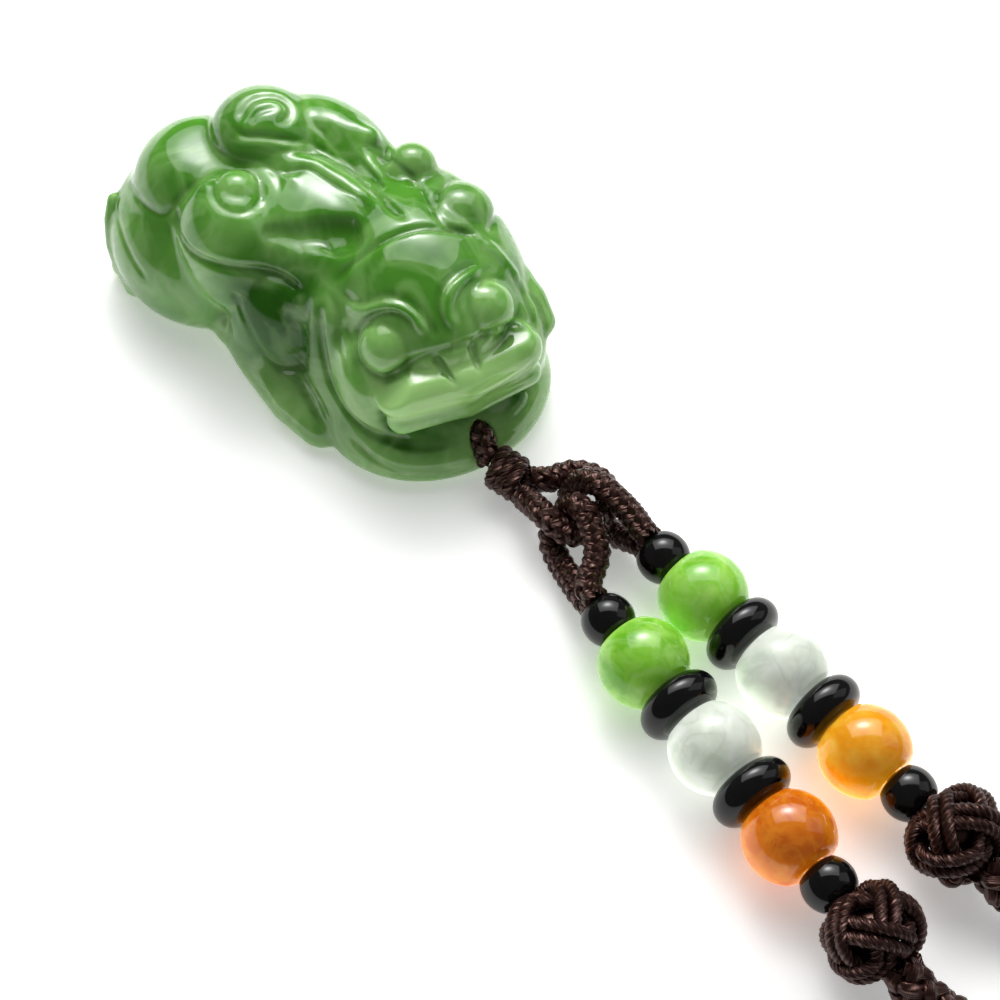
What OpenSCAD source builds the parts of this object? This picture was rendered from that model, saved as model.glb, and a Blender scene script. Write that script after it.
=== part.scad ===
// Jade pixiu pendant on a beaded neck cord, lying on a flat surface.
// +X runs from the beast's rump to its jaw, +Z is up, and the origin is the middle of its flat underside.

/* [Carving] */
// Length of the carved beast, from rump to jaw
pixiu_l = 56; // [48:0.5:64]
// Width across its flanks
pixiu_w = 29; // [25:0.5:33]
// Height from the flat underside to the back
pixiu_h = 25; // [22:0.5:29]

/* [Head] */
// Length of the head, from nape to lips
head_l = 27; // [24:0.5:30]
// Width of the head across the cheeks
head_w = 25; // [22:0.5:28]
// Turn of the head out of the body's line, in degrees
head_turn = -26; // [-32:1:-20]
// Diameter of an eyeball
eye_d = 6.2; // [5:0.1:7]
// Thickness of the rolled upper lip
lip_d = 6; // [5:0.1:7]
// Height of the mouth's bore above the surface
mouth_z = 5; // [4.4:0.1:6]
// Depth of the mouth's bore
mouth_bore_l = 5; // [3:0.5:8]

/* [Cords] */
// Thickness of the braided cord that the loops are made of
loop_cord_d = 2.7; // [2.4:0.05:2.8]
// Diameter of the wrapped knot in front of the mouth
wrap_d = 5.4; // [5:0.1:5.8]
// Length of the wrapped knot
wrap_l = 5.2; // [4.6:0.1:5.6]
// Turns of cord round the wrapped knot
wrap_turns = 3; // [2:1:4]
// From the mouth to the middle of the wrapped knot
wrap_reach = 4.4; // [4.3:0.1:5]
// Thickness of the thread inside the beads
thread_d = 1.3; // [1:0.1:1.6]
// Room between a cord and what it passes through
cord_gap = 0.15; // [0.1:0.05:0.3]

/* [Beads] */
// Diameter of the round stone beads
round_bead_d = 10; // [9:0.1:11]
// Length of a round stone bead between its flat drilled ends
round_bead_l = 8; // [7:0.1:8.6]
// Diameter of the black discs between them
disc_d = 9.3; // [8:0.1:9.8]
// Thickness of a black disc
disc_l = 4; // [3:0.1:4.6]
// Diameter of the small black beads at a strand's ends
small_bead_d = 6; // [5.4:0.1:7]
// Length of a small black bead between its flat drilled ends
small_bead_l = 4.4; // [3.8:0.1:5]
// Room between neighbours on a strand
bead_gap = 0.1; // [0.05:0.05:0.3]

/* [Neck cord] */
// Thickness of the round neck braid
neck_braid_d = 5.2; // [4.6:0.1:5.6]
// Diameter of a button knot
button_d = 11.6; // [10.6:0.1:12.4]
// Length of a button knot along its strand
button_l = 8.4; // [7.6:0.1:9.2]

/* [Hidden] */

// Facets round a body mass, round a small form, and round a ridge
mass_fn = 34;
small_fn = 18;
ridge_fn = 12;

// Where the head's own frame stands, as shares of the carving's length and width
head_at = [0.21 * pixiu_l, 0.02 * pixiu_w, 0];

// Body masses, columns: x y z of the middle, x y z radii, turn in degrees.
// Lengths are shares of the carving's length, width and height.
body_masses = [
    [-0.05, 0.03, 0.40, 0.42, 0.38, 0.47, 0],     // trunk
    [-0.31, -0.075, 0.24, 0.205, 0.42, 0.44, -8], // rump
    [-0.22, 0.18, 0.40, 0.19, 0.32, 0.42, 0],     // far haunch
    [-0.31, -0.03, 0.52, 0.155, 0.29, 0.31, 0],   // buttock
    [-0.165, -0.20, 0.53, 0.135, 0.22, 0.35, -20], // near thigh
    [0.13, 0.20, 0.40, 0.25, 0.29, 0.42, -6],     // far shoulder
    [-0.015, -0.27, 0.28, 0.105, 0.165, 0.36, 0], // near foreleg
    [-0.245, 0.16, 0.72, 0.115, 0.21, 0.245, 0],  // curled tail
    [-0.155, 0.31, 0.64, 0.14, 0.18, 0.28, 0],    // tail's second lobe
    [0.11, 0.28, 0.60, 0.17, 0.21, 0.27, 0],      // mane on the far side
];

// Round knobs, columns: x y z as above, radius as a share of the height.
knobs = [
    [-0.165, -0.185, 0.865, 0.11],  // hip boss
    [0.055, 0.37, 0.84, 0.105],     // upper mane curl
    [0.195, 0.33, 0.74, 0.155],     // lower mane curl
    [-0.44, -0.37, 0.08, 0.08],     // hind foot
    [-0.20, 0.40, 0.42, 0.16],      // far hip boss
];

// Head masses, columns as for the body, as shares of the head's length, its width and the carving's height.
head_masses = [
    [0.04, 0.02, 0.54, 0.40, 0.42, 0.41, 0],   // skull
    [0.175, 0.00, 0.10, 0.43, 0.51, 0.25, 0],  // lower jaw
    [0.27, 0.03, 0.44, 0.18, 0.36, 0.24, 0],   // muzzle
];

// Middles of the two eyes in the head's frame, near one first
eyes = [[0.22, -0.235, 0.68], [0.27, 0.22, 0.71]];

// Hollow between the back and the foreleg, columns as for the body
flank_hollow = [0.035, -0.075, 0.86, 0.065, 0.11, 0.15, 0];

// Ridges on the body, points: x y z as shares of the carving, radius as a share of its height.
body_ridges = [
    // near forearm and claws along the edge of the underside
    [[-0.13, -0.33, 0.10, 0.11], [-0.04, -0.385, 0.09, 0.12], [0.07, -0.42, 0.08, 0.11], [0.15, -0.43, 0.07, 0.10]],
    // mane below the near cheek
    [[0.09, -0.25, 0.60, 0.12], [0.11, -0.33, 0.32, 0.13], [0.17, -0.36, 0.20, 0.14], [0.26, -0.37, 0.15, 0.13]],
    // band along the back
    [[-0.19, 0.02, 0.86, 0.08], [-0.09, 0.07, 0.86, 0.09], [0.02, 0.03, 0.84, 0.09], [0.10, -0.03, 0.79, 0.10]],
    // band from the thigh to the cheek
    [[-0.12, -0.28, 0.52, 0.11], [-0.02, -0.26, 0.56, 0.10], [0.06, -0.25, 0.54, 0.11]],
    // tip of the tail's second lobe
    [[-0.11, 0.32, 0.84, 0.05], [-0.05, 0.36, 0.86, 0.07]],
    // curls behind the far cheek
    [[0.34, 0.34, 0.52, 0.07], [0.38, 0.31, 0.49, 0.08], [0.42, 0.28, 0.44, 0.07]],
    // far forearm
    [[-0.06, 0.36, 0.12, 0.12], [0.06, 0.40, 0.10, 0.12], [0.18, 0.38, 0.09, 0.11]],
];

// Ridges on the head, points: x y z in the head's frame, radius as a share of the carving's height.
head_ridges = [
    // near brow
    [[0.07, -0.40, 0.70, 0.03], [0.15, -0.33, 0.78, 0.04], [0.25, -0.19, 0.80, 0.04], [0.33, -0.06, 0.72, 0.03]],
    // far brow
    [[0.35, 0.03, 0.72, 0.03], [0.25, 0.06, 0.84, 0.04], [0.18, 0.18, 0.87, 0.04], [0.18, 0.31, 0.80, 0.04]],
];

// Rolled upper lip and the lip's lower edge, points in the head's frame and a share of the lip's thickness
lip_roll = [[0.365, -0.29, 0.485, 1.02], [0.41, 0, 0.50, 1], [0.385, 0.30, 0.465, 0.94]];
lip_edge = [[0.42, -0.30, 0.37, 0.54], [0.455, 0, 0.37, 0.54], [0.43, 0.31, 0.365, 0.5]];

// Mouth of the bore in the head's frame, as shares of its length and width
mouth_share = [0.568, 0.028];

function turned(p, a) = [p[0] * cos(a) - p[1] * sin(a), p[0] * sin(a) + p[1] * cos(a), p[2]];
function head_point(u, v, z) = head_at + turned([u * head_l, v * head_w, z], head_turn);

mouth_at = head_point(mouth_share[0], mouth_share[1], mouth_z);

// The string's own zero: the middle of the wrapped knot, seen from above
string_turn = -10;
string_at = [mouth_at[0] + wrap_reach * cos(string_turn), mouth_at[1] + wrap_reach * sin(string_turn), 0];

// The wrapped knot leans a little forward, and its front edge rests on the surface
wrap_turn = 5;
wrap_tilt = 8;
wrap_z = wrap_d / 2 * cos(wrap_tilt) + wrap_l / 2 * sin(wrap_tilt);
wrap_axis = [cos(wrap_tilt) * cos(wrap_turn), cos(wrap_tilt) * sin(wrap_turn), -sin(wrap_tilt)];
wrap_at = string_at + [0, 0, wrap_z];

// Two cords leave the knot's front face side by side, one on side 1 and one on side -1
cord_apart = (loop_cord_d + cord_gap) / 2;
function wrap_front(side) =
    wrap_at + (wrap_l / 2 + cord_gap) * wrap_axis + side * cord_apart * [-sin(wrap_turn), cos(wrap_turn), 0];

// The cord leaves its bore along the head's line and bends down to the knot's rear face
function mouth_cord_points(depth) = [
    mouth_at + turned([-depth, 0, 0], head_turn),
    mouth_at + turned([-mouth_bore_l / 2, 0, 0], head_turn),
    mouth_at,
    wrap_at - (wrap_l / 2 + cord_gap) * wrap_axis,
];
head_axis = turned([1, 0, 0], head_turn);

// Height of the beads' threads, and what stands in a strand: length of each piece
thread_z = round_bead_d / 2;
strand_lengths = [small_bead_l, round_bead_l, disc_l, round_bead_l, disc_l, round_bead_l, small_bead_l, button_l];

// Each strand: x and y of the rear of its first bead from the string's zero, and its turn in degrees
upper_strand = [18.5, 1.5, -10.7];
lower_strand = [18.35, -8.2, -16.2];

// How far along a strand piece number i begins
function strand_begin(i) = i == 0 ? 0 : strand_begin(i - 1) + strand_lengths[i - 1] + bead_gap;
function strand_point(strand, along, z) =
    string_at + [strand[0], strand[1], z] + turned([along, 0, 0], strand[2]);

function strand_axis(strand) = turned([1, 0, 0], strand[2]);
// Two cords meet the rear of a strand's first bead, one above its thread and one below it
function strand_rear(strand, side) = strand_point(strand, -cord_gap, thread_z + side * cord_apart);

thread_l = strand_begin(7) - bead_gap;
// A button knot wider than the beads stands its middle higher than their thread
button_z = max(thread_z, button_d / 2);
strand_l = strand_begin(7) + button_l;

// Routes of the loops, points: x and y from the string's zero in mm, and lift off the surface in cord diameters.
pendant_loop_route = [
    [3.6, 1.8, 0.6], [4.3, 2.8, 0.55], [4.9, 4.1, 0.5], [6.1, 5.2, 0.5], [8, 5.7, 0.6],
    [9.9, 5.1, 0.85], [11.3, 3.7, 1.1], [12, 1.9, 1.15], [12, 0.2, 1.05], [11.4, -1.6, 1],
    [10, -2.9, 1.3], [8, -3.1, 1.6], [6, -2.5, 1.35], [4.4, -1.8, 0.9],
];
upper_loop_route = [
    [17.3, 1.8, 1.85], [16, 2.2, 2], [14.4, 2.5, 2.2], [12.4, 2.7, 2.35], [10.4, 3, 2.3],
    [8.6, 3.2, 1.85], [7.6, 3, 1.25], [7.1, 2.4, 0.65], [7.3, 1.9, 0.15], [8.8, 2, 0.05],
    [10.6, 2.1, 0.05], [12.8, 2, 0.05], [14.7, 1.7, 0.3], [16.5, 1.7, 0.7],
];
lower_loop_route = [
    [17, -7.8, 1.85], [16.3, -6.8, 1.8], [15.8, -5.4, 1.75], [15.2, -3.9, 1.75],
    [14.2, -2.6, 1.85], [12.7, -1.4, 2], [10.9, -0.5, 2.1], [9.3, -0.1, 1.65], [8.2, -0.7, 0.95],
    [7.9, -1.9, 0.45], [8.7, -3.4, 0.25], [10.3, -4.6, 0.2], [12.2, -5.6, 0.3], [14.1, -6.6, 0.55],
    [16.1, -7.6, 0.8],
];

// Half of the neck braid's route from midway between the button knots' front faces, mirrored for the other half
neck_braid_half = [
    [8, 7.4], [14, 8.6], [22, 12.5], [32, 20.5], [43, 31], [55, 41], [68, 49.5], [82, 55.5], [97, 59.5],
    [113, 61], [129, 59.5], [144, 55.5], [158, 49], [170, 40.5], [180, 30], [187.5, 18], [191.5, 6],
];
// How far the braid runs straight out of its knot
braid_lead = 3;

function loop_points(route) = [
    for (p = route) string_at + [p[0], p[1], (p[2] + 0.5) * loop_cord_d + 0.02]
];
pendant_loop_points = concat([wrap_front(1)], loop_points(pendant_loop_route), [wrap_front(-1)]);
function strand_loop_points(strand, route) =
    concat([strand_rear(strand, 1)], loop_points(route), [strand_rear(strand, -1)]);

braid_z = neck_braid_d / 2 + 0.02;
function braid_start(strand, past, z) = strand_point(strand, strand_l + cord_gap + past, z);
upper_start = braid_start(upper_strand, 0, button_z);
lower_start = braid_start(lower_strand, 0, button_z);
braid_middle = [(upper_start[0] + lower_start[0]) / 2, (upper_start[1] + lower_start[1]) / 2, braid_z];
neck_braid_points = concat(
    [upper_start, braid_start(upper_strand, braid_lead, (2 * button_z + braid_z) / 3)],
    [for (p = neck_braid_half) braid_middle + [p[0], p[1], 0]],
    [for (i = [len(neck_braid_half) - 1 : -1 : 0])
        braid_middle + [neck_braid_half[i][0], -neck_braid_half[i][1], 0]],
    [braid_start(lower_strand, braid_lead, (2 * button_z + braid_z) / 3), lower_start]
);

// Rings of a tube along a route, each square to the route and turned as little as possible from the last.
// The first and last ring are square to the axes given for the ends, so that they lie flat against a face.
function unit(v) = v / norm(v);
function tangent(p, i, ends) =
    i == 0 ? ends[0] : i == len(p) - 1 ? ends[1] : unit(p[i + 1] - p[i - 1]);
function sideways(v, t) = unit(v - (v * t) * t);
function ring_sides(p, ends, i = 0, last = [0, 0, 1]) =
    i == len(p) ? [] :
    let (n = sideways(last, tangent(p, i, ends))) concat([n], ring_sides(p, ends, i + 1, n));

module tube(points, d, sides, ends) {
    n = ring_sides(points, ends);
    rings = [
        for (i = [0 : len(points) - 1])
            let (b = cross(tangent(points, i, ends), n[i]))
            for (s = [0 : sides - 1])
                points[i] + d / 2 * (cos(360 * s / sides) * n[i] + sin(360 * s / sides) * b)
    ];
    last = (len(points) - 1) * sides;
    polyhedron(
        points = rings,
        faces = concat(
            [[for (s = [0 : sides - 1]) s]],
            [[for (s = [sides - 1 : -1 : 0]) last + s]],
            [for (i = [0 : len(points) - 2], s = [0 : sides - 1])
                let (a = i * sides + s, b = i * sides + (s + 1) % sides)
                each [[a, b + sides, b], [a, a + sides, b + sides]]]
        )
    );
}

// An ellipsoid from a row of a table of masses
module mass(row, l, w, h) {
    translate([row[0] * l, row[1] * w, row[2] * h])
        rotate([0, 0, row[6]])
            scale([row[3] * l, row[4] * w, row[5] * h])
                sphere(r = 1, $fn = mass_fn);
}

// A ridge through points that each have a radius as a share of r
module ridge(points, l, w, h, r, fn) {
    for (i = [0 : len(points) - 2])
        hull()
            for (p = [points[i], points[i + 1]])
                translate([p[0] * l, p[1] * w, p[2] * h])
                    sphere(r = p[3] * r, $fn = fn);
}

module in_head_frame() {
    translate(head_at) rotate([0, 0, head_turn]) children();
}

module jade_pixiu() {
    color([0.33, 0.58, 0.28])
        difference() {
            union() {
                difference() {
                    for (row = body_masses) mass(row, pixiu_l, pixiu_w, pixiu_h);
                    mass(flank_hollow, pixiu_l, pixiu_w, pixiu_h);
                }
                for (k = knobs)
                    translate([k[0] * pixiu_l, k[1] * pixiu_w, k[2] * pixiu_h])
                        sphere(r = k[3] * pixiu_h, $fn = small_fn);
                for (points = body_ridges)
                    ridge(points, pixiu_l, pixiu_w, pixiu_h, pixiu_h, ridge_fn);
                in_head_frame() {
                    for (row = head_masses) mass(row, head_l, head_w, pixiu_h);
                    for (points = head_ridges)
                        ridge(points, head_l, head_w, pixiu_h, pixiu_h, ridge_fn);
                    for (e = eyes)
                        translate([e[0] * head_l, e[1] * head_w, e[2] * pixiu_h])
                            sphere(d = eye_d, $fn = small_fn);
                    ridge(lip_roll, head_l, head_w, pixiu_h, lip_d / 2, small_fn);
                    ridge(lip_edge, head_l, head_w, pixiu_h, lip_d / 2, ridge_fn);
                }
            }
            // flat underside
            translate([-pixiu_l, -pixiu_w, -pixiu_h]) cube([2 * pixiu_l, 2 * pixiu_w, pixiu_h]);
            mouth_bore();
        }
}

// Bore in the mouth, with room round the cord and past its end
module mouth_bore() {
    tube(mouth_cord_points(mouth_bore_l), loop_cord_d + 2 * cord_gap, 16, [head_axis, wrap_axis]);
}

module mouth_cord() {
    color([0.16, 0.08, 0.07])
        tube(mouth_cord_points(mouth_bore_l - cord_gap), loop_cord_d, 8, [head_axis, wrap_axis]);
}

module wrap_knot() {
    turn_d = wrap_l / wrap_turns;
    color([0.16, 0.08, 0.07])
        translate(wrap_at)
            rotate([0, 90 + wrap_tilt, wrap_turn]) {
                cylinder(d = wrap_d - turn_d, h = wrap_l, center = true, $fn = 32);
                for (i = [0 : wrap_turns - 1])
                    translate([0, 0, (i + 0.5) * turn_d - wrap_l / 2])
                        rotate_extrude($fn = 32)
                            translate([wrap_d / 2 - turn_d / 2, 0])
                                circle(d = turn_d, $fn = 16);
            }
}

module pendant_loop() {
    color([0.16, 0.08, 0.07])
        tube(pendant_loop_points, loop_cord_d, 8, [wrap_axis, -wrap_axis]);
}

module upper_loop() {
    color([0.16, 0.08, 0.07])
        tube(strand_loop_points(upper_strand, upper_loop_route), loop_cord_d, 8,
            [-strand_axis(upper_strand), strand_axis(upper_strand)]);
}

module lower_loop() {
    color([0.16, 0.08, 0.07])
        tube(strand_loop_points(lower_strand, lower_loop_route), loop_cord_d, 8,
            [-strand_axis(lower_strand), strand_axis(lower_strand)]);
}

// Puts a piece at its place on a strand, with its own Z along the strand
module on_strand(strand, i) {
    translate(strand_point(strand, strand_begin(i) + strand_lengths[i] / 2, thread_z))
        rotate([0, 90, strand[2]]) children();
}

module thread(strand) {
    color([0.12, 0.06, 0.05])
        translate(strand_point(strand, 0, thread_z))
            rotate([0, 90, strand[2]]) cylinder(d = thread_d, h = thread_l, $fn = 24);
}

// A ball cut flat at both ends, with a bore for the thread
module drilled_ball(d, l) {
    difference() {
        intersection() {
            sphere(d = d, $fn = 48);
            cylinder(d = 2 * d, h = l, center = true, $fn = 48);
        }
        cylinder(d = thread_d + 2 * cord_gap, h = 2 * d, center = true, $fn = 24);
    }
}

module black_bead() {
    color([0.05, 0.05, 0.06]) drilled_ball(small_bead_d, small_bead_l);
}

module green_bead() {
    color([0.45, 0.68, 0.24]) drilled_ball(round_bead_d, round_bead_l);
}

module white_bead() {
    color([0.84, 0.88, 0.80]) drilled_ball(round_bead_d, round_bead_l);
}

module amber_bead(tone) {
    color(tone) drilled_ball(round_bead_d, round_bead_l);
}

// A disc with a round edge and a bore for the thread
module black_disc() {
    color([0.05, 0.05, 0.06])
        rotate_extrude($fn = 48)
            intersection() {
                translate([(thread_d / 2) + cord_gap, -disc_l / 2]) square([disc_d, disc_l]);
                union() {
                    translate([disc_d / 2 - disc_l / 2, 0]) circle(d = disc_l, $fn = 32);
                    translate([0, -disc_l / 2]) square([disc_d / 2 - disc_l / 2, disc_l]);
                }
            }
}

// A ball of crossing strands, flattened along its own Z
module button_knot() {
    rings = 9;
    sides = 20;
    relief = 0.045;
    function bulge(lat, lon) = 1 - relief + relief * cos(4 * lon + 3 * lat) * cos(4 * lon - 3 * lat);
    points = concat(
        [[0, 0, -button_l / 2]],
        [for (i = [1 : rings], s = [0 : sides - 1])
            let (lat = -90 + 180 * i / (rings + 1), lon = 360 * s / sides, r = bulge(lat, lon))
            [button_d / 2 * r * cos(lat) * cos(lon), button_d / 2 * r * cos(lat) * sin(lon),
                button_l / 2 * sin(lat)]],
        [[0, 0, button_l / 2]]
    );
    top = rings * sides + 1;
    color([0.16, 0.08, 0.07])
        polyhedron(
            points = points,
            faces = concat(
                [for (s = [0 : sides - 1]) [0, 1 + s, 1 + (s + 1) % sides]],
                [for (i = [0 : rings - 2], s = [0 : sides - 1])
                    let (a = 1 + i * sides + s, b = 1 + i * sides + (s + 1) % sides)
                    each [[a, b + sides, b], [a, a + sides, b + sides]]],
                [for (s = [0 : sides - 1])
                    [top, top - sides + (s + 1) % sides, top - sides + s]]
            )
        );
}

// The button knot's middle may stand higher than its strand's thread
module on_strand_end(strand) {
    translate([0, 0, button_z - thread_z]) on_strand(strand, 7) children();
}

module neck_braid() {
    color([0.16, 0.08, 0.07])
        tube(neck_braid_points, neck_braid_d, 10, [strand_axis(upper_strand), -strand_axis(lower_strand)]);
}

jade_pixiu();
mouth_cord();
wrap_knot();
pendant_loop();
upper_loop();
lower_loop();
thread(upper_strand);  // upper_thread
on_strand(upper_strand, 0) black_bead();  // upper_first_black
on_strand(upper_strand, 1) green_bead();  // upper_green
on_strand(upper_strand, 2) black_disc();  // upper_first_disc
on_strand(upper_strand, 3) white_bead();  // upper_white
on_strand(upper_strand, 4) black_disc();  // upper_second_disc
on_strand(upper_strand, 5) amber_bead([0.92, 0.62, 0.18]);  // upper_amber
on_strand(upper_strand, 6) black_bead();  // upper_last_black
on_strand_end(upper_strand) button_knot();  // upper_button
thread(lower_strand);  // lower_thread
on_strand(lower_strand, 0) black_bead();  // lower_first_black
on_strand(lower_strand, 1) green_bead();  // lower_green
on_strand(lower_strand, 2) black_disc();  // lower_first_disc
on_strand(lower_strand, 3) white_bead();  // lower_white
on_strand(lower_strand, 4) black_disc();  // lower_second_disc
on_strand(lower_strand, 5) amber_bead([0.80, 0.42, 0.13]);  // lower_amber
on_strand(lower_strand, 6) black_bead();  // lower_last_black
on_strand_end(lower_strand) button_knot();  // lower_button
neck_braid();
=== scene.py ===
import bmesh
import bpy
import math
import numpy as np
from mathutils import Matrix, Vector


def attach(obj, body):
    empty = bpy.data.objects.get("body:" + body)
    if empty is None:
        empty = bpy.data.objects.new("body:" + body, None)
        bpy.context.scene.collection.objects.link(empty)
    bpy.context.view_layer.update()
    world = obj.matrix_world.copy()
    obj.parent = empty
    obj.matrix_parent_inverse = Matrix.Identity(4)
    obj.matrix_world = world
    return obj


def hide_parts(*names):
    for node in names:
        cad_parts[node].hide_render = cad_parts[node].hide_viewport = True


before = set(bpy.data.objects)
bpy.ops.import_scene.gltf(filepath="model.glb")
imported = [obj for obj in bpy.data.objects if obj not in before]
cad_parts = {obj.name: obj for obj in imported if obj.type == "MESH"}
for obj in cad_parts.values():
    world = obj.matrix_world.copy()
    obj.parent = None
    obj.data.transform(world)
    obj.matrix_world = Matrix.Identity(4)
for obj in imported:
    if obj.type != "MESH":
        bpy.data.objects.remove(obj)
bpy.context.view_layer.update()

mm = 0.001

# Sizes that places are worked out from, in mm, as in the part's source
carving = {
    "length": 56, "width": 29, "height": 25,
    "headLength": 27, "headWidth": 25, "headTurn": -26, "headAt": (0.21, 0.02),
    "lip": 6, "mouthHeight": 5, "mouthShare": (0.568, 0.028), "boreLength": 5,
}
string = {
    "wrapReach": 4.4, "stringTurn": -10, "wrapThick": 5.4, "wrapLength": 5.2, "wrapTurn": 5, "wrapTilt": 8,
    "cordThick": 2.7, "gap": 0.15, "braidThick": 5.2, "braidLead": 3, "knotWide": 11.6, "knotLong": 8.4,
    "floorGap": 0.02,
}
beadSizes = {
    "roundWide": 10, "roundLong": 8, "discWide": 9.3, "discLong": 4, "smallWide": 6, "smallLong": 4.4,
    "bore": 1.6, "gap": 0.1,
}
# Beads of a strand from the carving outward, and the size that gives each one's length
beadRow = {
    "first_black": "smallLong", "green": "roundLong", "first_disc": "discLong", "white": "roundLong",
    "second_disc": "discLong", "amber": "roundLong", "last_black": "smallLong",
}
# Each strand: x and y of the rear of its first bead from the string's zero, and its turn in degrees
strands = {"upper": (18.5, 1.5, -10.7), "lower": (18.35, -8.2, -16.2)}


def turned(point, degrees):
    c, s = math.cos(math.radians(degrees)), math.sin(math.radians(degrees))
    return np.array([point[0] * c - point[1] * s, point[0] * s + point[1] * c, point[2]], float)


def unit(v):
    return v / np.linalg.norm(v)


def units(rows):
    return rows / np.linalg.norm(rows, axis=1)[:, None]


headBase = np.array([carving["headAt"][0] * carving["length"], carving["headAt"][1] * carving["width"], 0.0])


def headPoint(u, v, z):
    return headBase + turned((u * carving["headLength"], v * carving["headWidth"], z), carving["headTurn"])


mouthAt = headPoint(*carving["mouthShare"], carving["mouthHeight"])
headAxis = turned((1, 0, 0), carving["headTurn"])
stringAt = mouthAt * (1, 1, 0) + turned((string["wrapReach"], 0, 0), string["stringTurn"])
tilt = math.radians(string["wrapTilt"])
wrapAxis = turned((math.cos(tilt), 0, -math.sin(tilt)), string["wrapTurn"])
wrapHeight = string["wrapThick"] / 2 * math.cos(tilt) + string["wrapLength"] / 2 * math.sin(tilt)
wrapAt = stringAt + (0, 0, wrapHeight)
threadHeight = beadSizes["roundWide"] / 2
knotHeight = max(threadHeight, string["knotWide"] / 2)
pieceLengths = [beadSizes[size] for size in beadRow.values()] + [string["knotLong"]]
buttonPlace = len(beadRow)  # the button knot comes after its strand's beads


def strandBegin(i):
    return sum(pieceLengths[:i]) + i * beadSizes["gap"]


def strandPoint(side, along, z):
    x, y, degrees = strands[side]
    return stringAt + (x, y, z) + turned((along, 0, 0), degrees)


def strandAxis(side):
    return turned((1, 0, 0), strands[side][2])


def newObject(name, data):
    thing = bpy.data.objects.new(name, data)
    bpy.context.scene.collection.objects.link(thing)
    return thing


# Camera of the photo, in mm and degrees: the string runs from the carving to the picture's lower right.
# halfTangent is that of half its field of view, and halfPicture is half the picture's width in pixels
photo = {
    "target": (30.4, -8.2, 0), "elevation": 60, "heading": 38, "distance": 250, "halfTangent": 0.2286,
    "halfPicture": 500,
}


def towardCamera():
    rise, heading = math.radians(photo["elevation"]), math.radians(photo["heading"])
    return np.array([math.cos(rise) * math.sin(heading), -math.cos(rise) * math.cos(heading), math.sin(rise)])


def makeCamera():
    data = bpy.data.cameras.new("photoCamera")
    camera = newObject("photoCamera", data)
    back = Vector(towardCamera())
    camera.location = (Vector(photo["target"]) + back * photo["distance"]) * mm
    camera.rotation_mode = "QUATERNION"
    camera.rotation_quaternion = (-back).to_track_quat("-Z", "Y")
    data.angle = 2 * math.atan(photo["halfTangent"])
    data.clip_start, data.clip_end = 0.01, 20  # in m
    bpy.context.scene.camera = camera


# A node with its settings, then its inputs: another node's socket is linked, and a value is set
def addNode(tree, kind, inputs=None, **settings):
    node = tree.nodes.new(kind)
    for key, value in settings.items():
        setattr(node, key, value)
    for key, value in (inputs or {}).items():
        if isinstance(value, bpy.types.NodeSocket):
            tree.links.new(value, node.inputs[key])
        else:
            node.inputs[key].default_value = value
    return node


def maths(tree, operation, a, b=0.0):
    return addNode(tree, "ShaderNodeMath", {0: a, 1: b}, operation=operation).outputs[0]


# Sockets 0 and 1 are the vectors, and 3 is the scale
def vectorMaths(tree, operation, a, b=None, scale=None):
    inputs = {0: a}
    if b is not None:
        inputs[1] = b
    if scale is not None:
        inputs[3] = scale
    return addNode(tree, "ShaderNodeVectorMath", inputs, operation=operation).outputs[0]


def newMaterial(name):
    material = bpy.data.materials.new(name)
    material.use_nodes = True
    return material


def shaderOf(material, settings):
    shader = material.node_tree.nodes["Principled BSDF"]
    for socket, value in settings.items():
        shader.inputs[socket].default_value = value
    return shader


# A soft box hangs behind the carving with a hot card before it, and a card stands on the right. Each comes
# from a heading off the camera's right, a rise and a distance in mm. floorSize is half its width in m
studio = {
    "floorSize": 8.0, "sky": {"Color": (1.0, 1.0, 1.0, 1), "Strength": 0.12},
    "paper": {"Base Color": (0.95, 0.95, 0.945, 1), "Roughness": 0.7, "Specular IOR Level": 0.2,
              "Emission Color": (1, 1, 1, 1), "Emission Strength": 0.35},
    "lights": (
        {"name": "softBox", "from": (90, 54, 430), "size": (620, 400),
         "glow": 1.6, "heart": 2.4, "width": 0.3},
        {"name": "hotHeart", "from": (93, 50, 425), "size": (400, 270),
         "glow": 0.0, "heart": 13.0, "width": 0.22},
        {"name": "sideCard", "from": (8, 35, 430), "size": (220, 320),
         "glow": 0.5, "heart": 0.0, "width": 0.2},
    ),
}


# A card's light falls off from its middle: glow everywhere, and a hot heart of the given width
def lightNodes(data, settings):
    data.use_nodes = True
    tree = data.node_tree
    emission = tree.nodes["Emission"]
    place = addNode(tree, "ShaderNodeNewGeometry").outputs["Parametric"]  # from 0 to 1 across the card
    away = vectorMaths(tree, "SUBTRACT", place, (0.5, 0.5, 0))
    flat = vectorMaths(tree, "MULTIPLY", away, (1, 1, 0))
    length = addNode(tree, "ShaderNodeVectorMath", {0: flat}, operation="LENGTH").outputs["Value"]
    share = maths(tree, "DIVIDE", length, settings["width"])
    fall = maths(tree, "POWER", math.e, maths(tree, "MULTIPLY", maths(tree, "MULTIPLY", share, share), -1.0))
    strength = maths(tree, "ADD", maths(tree, "MULTIPLY", fall, settings["heart"]), settings["glow"])
    tree.links.new(strength, emission.inputs["Strength"])


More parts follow.
